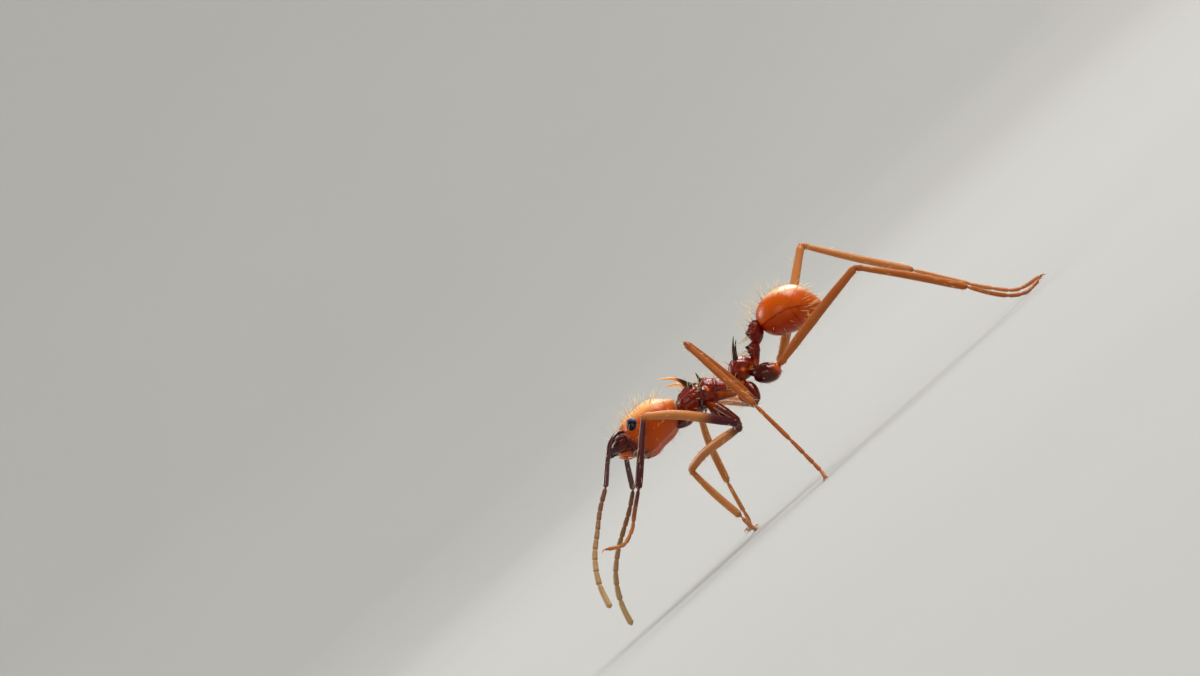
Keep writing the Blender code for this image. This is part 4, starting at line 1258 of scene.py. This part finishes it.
# %% [markdown]
# ## Laying the coat
# The long hairs stand nearly upright on the back and lean a little towards the rear. On the legs they are
# shorter and slant towards the foot. The feelers and feet get the finest down.
# %% Hairs of the body
HEAD_PLACE, GASTER_PLACE, TRUNK_PLACE = BODY @ HEAD_AXES, BODY @ GASTER_AXES, BODY @ TRUNK_AXES
lay("hairs_head", [
    (head, HEAD_PLACE, lambda p, n: 20 * ramp(n[:, 2], .15, .75) * (np.abs(p[:, 1]) < .95), .09, .42, .0105,
     .80, (1, 0, 0), .22),
    (head, HEAD_PLACE, lambda p, n: 7 * ramp(-n[:, 2], .2, .8), .12, .18, .009, .8, (-1, 0, 0), .2),
    (head, HEAD_PLACE, lambda p, n: 8 * ramp(-p[:, 0], 1.5, 1.9) * (p[:, 2] > -.3), .10, .24, .009, .7,
     (-1, 0, .2), .25),
    (head, HEAD_PLACE, lambda p, n: 22 * (np.abs(n[:, 2]) < .6), .07, .075, .005, .35, (-1, 0, -.3), .2),
    (mouth, HEAD_PLACE, lambda p, n: 60 * ramp(-n[:, 2], -.2, .5), .05, .12, .006, .6, (-1, 0, -.3), .3),
], golden_hair, 11)
lay("hairs_trunk", [
    (trunk, TRUNK_PLACE, lambda p, n: 20 * ramp(n[:, 2], .2, .8), .09, .40, .0105, .85, (1, 0, 0), .15),
    (trunk, TRUNK_PLACE, lambda p, n: 7 * (np.abs(n[:, 2]) < .5), .12, .15, .009, .6, (1, 0, -.3), .2),
    (petiole, BODY @ PETIOLE_AXES, lambda p, n: 55 * ramp(n[:, 2], .1, .6) * (p[:, 0] > .12), .07, .44,
     .0105, .9, (1, 0, 0), .25),
    (postpetiole, BODY @ POSTPETIOLE_AXES, lambda p, n: 34 * ramp(n[:, 2], .0, .6), .08, .56, .011, .9,
     (1, 0, 0), .22),
], golden_hair, 12)


def gaster_length(p, n):
    return 0.28 + 0.46 * ramp(-p[:, 0], -1.0, .2) * ramp(n[:, 2], -.4, .3) - 0.10 * ramp(-n[:, 2], .2, .8)


lay("hairs_gaster", [
    (gaster, GASTER_PLACE, lambda p, n: 19 * ramp(n[:, 2], -.25, .4) * ramp(-p[:, 0], -1.3, -.5) + 3, .11,
     gaster_length, .0105, .88, (1, 0, 0), .16),
    (gaster, GASTER_PLACE, lambda p, n: 34 * ramp(p[:, 0], 1.15, 1.7), .07, .28, .009, .65, (1, 0, .2), .3),
    (gaster, GASTER_PLACE, lambda p, n: 8 * ramp(-n[:, 2], .0, .6), .12, .15, .007, .55, (1, 0, 0), .3),
], golden_hair, 13)

# %% Hairs of the legs and feelers
def towards(points):
    """The way that a limb's hairs lie: from its foot to its end."""
    return tuple((Vector(points[-1]) - Vector(points[0])).normalized())


LONG = {  # density, gap, length, thickness, stand
    "coxa": (9, .09, .20, .0075, .75), "femur": (9, .09, .20, .0075, .62),
    "tibia": (16, .09, .17, .0075, .45),
    "tarsus": (26, .06, .11, .006, .40), "scape": (10, .08, .11, .006, .5)}
SHORT = {  # density, gap, length
    "tibia": (60, .035, .06), "tarsus": (170, .035, .06),
    "scape": (40, .032, .055), "funiculus": (190, .032, .055)}
long, short = [], []
for limb_name, chain in [*LEGS.items(), *FEELERS.items()]:
    for part, points in chain.items():
        piece = bpy.data.objects[f"{part}_{limb_name}".replace("funiculus", "feeler")]
        if part in LONG:
            per, gap, length, thick, stand = LONG[part]
            long.append((piece, STANCE, even(per), gap, length, thick, stand, towards(points), .25))
        if part in SHORT:
            per, gap, length = SHORT[part]
            short.append((piece, STANCE, even(per), gap, length, .0042, .25, towards(points), .1))
lay("hairs_limbs", long, golden_hair, 14)
lay("down_limbs", short, down_hair, 15)

# %% [markdown]
# ## The stage
# A pale round table with a soft raised rim all round gives a plain ground from every side. Big soft lamps
# above and behind make the polish and the golden hairs show.
# %% Table, lamps and camera
f = Finish("pale_table")
pale = f.mix(f.noise(f.place(), 0.02), rgb(154, 153, 150), rgb(160, 159, 156))
f.set(Base_Color=pale, Roughness=0.9)
bpy.ops.mesh.primitive_circle_add(vertices=96, radius=0.2, fill_type="NGON")
table = bpy.context.object
table.name = "pale_table"
edit(table, "EDGE", every=True)
bpy.ops.mesh.region_to_loop()
for out, up in ((1.3, 0), (1.25, .004), (1.15, .016), (1.08, .03), (1.04, .05), (1.01, .08), (1.0, .2)):
    bpy.ops.mesh.extrude_edges_move(TRANSFORM_OT_translate={"value": (0, 0, up)})
    bpy.ops.transform.resize(value=(out, out, 1), center_override=(0, 0, 0))
done()
bpy.ops.object.shade_smooth()
table.data.materials.append(f.material)


def lamp(name, at, size, power, colour=(1, 1, 1)):
    bpy.ops.object.light_add(type="AREA", location=at)
    light = bpy.context.object
    light.name = name
    light.rotation_euler = (Vector((-0.002, 0, 0.003)) - Vector(at)).to_track_quat("-Z", "Y").to_euler()
    light.data.shape, light.data.size, light.data.size_y = "ELLIPSE", *size
    light.data.energy, light.data.color = power, colour


lamp("sky_lamp", (0.29, -0.06, 0.33), (0.24, 0.30), 2.2)
lamp("front_lamp", (-0.12, -0.36, 0.16), (0.20, 0.20), 0.40)
lamp("back_lamp", (0.20, 0.26, 0.28), (0.20, 0.36), 1.1, (1, 0.97, 0.92))
lamp("rim_lamp", (-0.26, 0.16, 0.26), (0.18, 0.18), 0.9, (1, 0.99, 0.96))
world = bpy.data.worlds.new("soft_room")
bpy.context.scene.world = world
world.use_nodes = True
room = world.node_tree.nodes["Background"].inputs
room["Color"].default_value, room["Strength"].default_value = (0.92, 0.95, 1.0, 1), 0.14
bpy.context.scene.view_settings.view_transform = "Standard"

look = Matrix(((0.749, 0.6626, 0), (0, 0, -1), (-0.6626, 0.749, 0))).to_4x4()
bpy.ops.object.camera_add()
camera = bpy.context.object
camera.name = "view_from_the_side"
camera.matrix_world = Matrix.Translation((-0.00301, -0.20141, 0.00753)) @ look
camera.data.lens, camera.data.sensor_width = 200, 36
camera.data.clip_start, camera.data.clip_end = 0.001, 5
bpy.context.scene.camera = camera
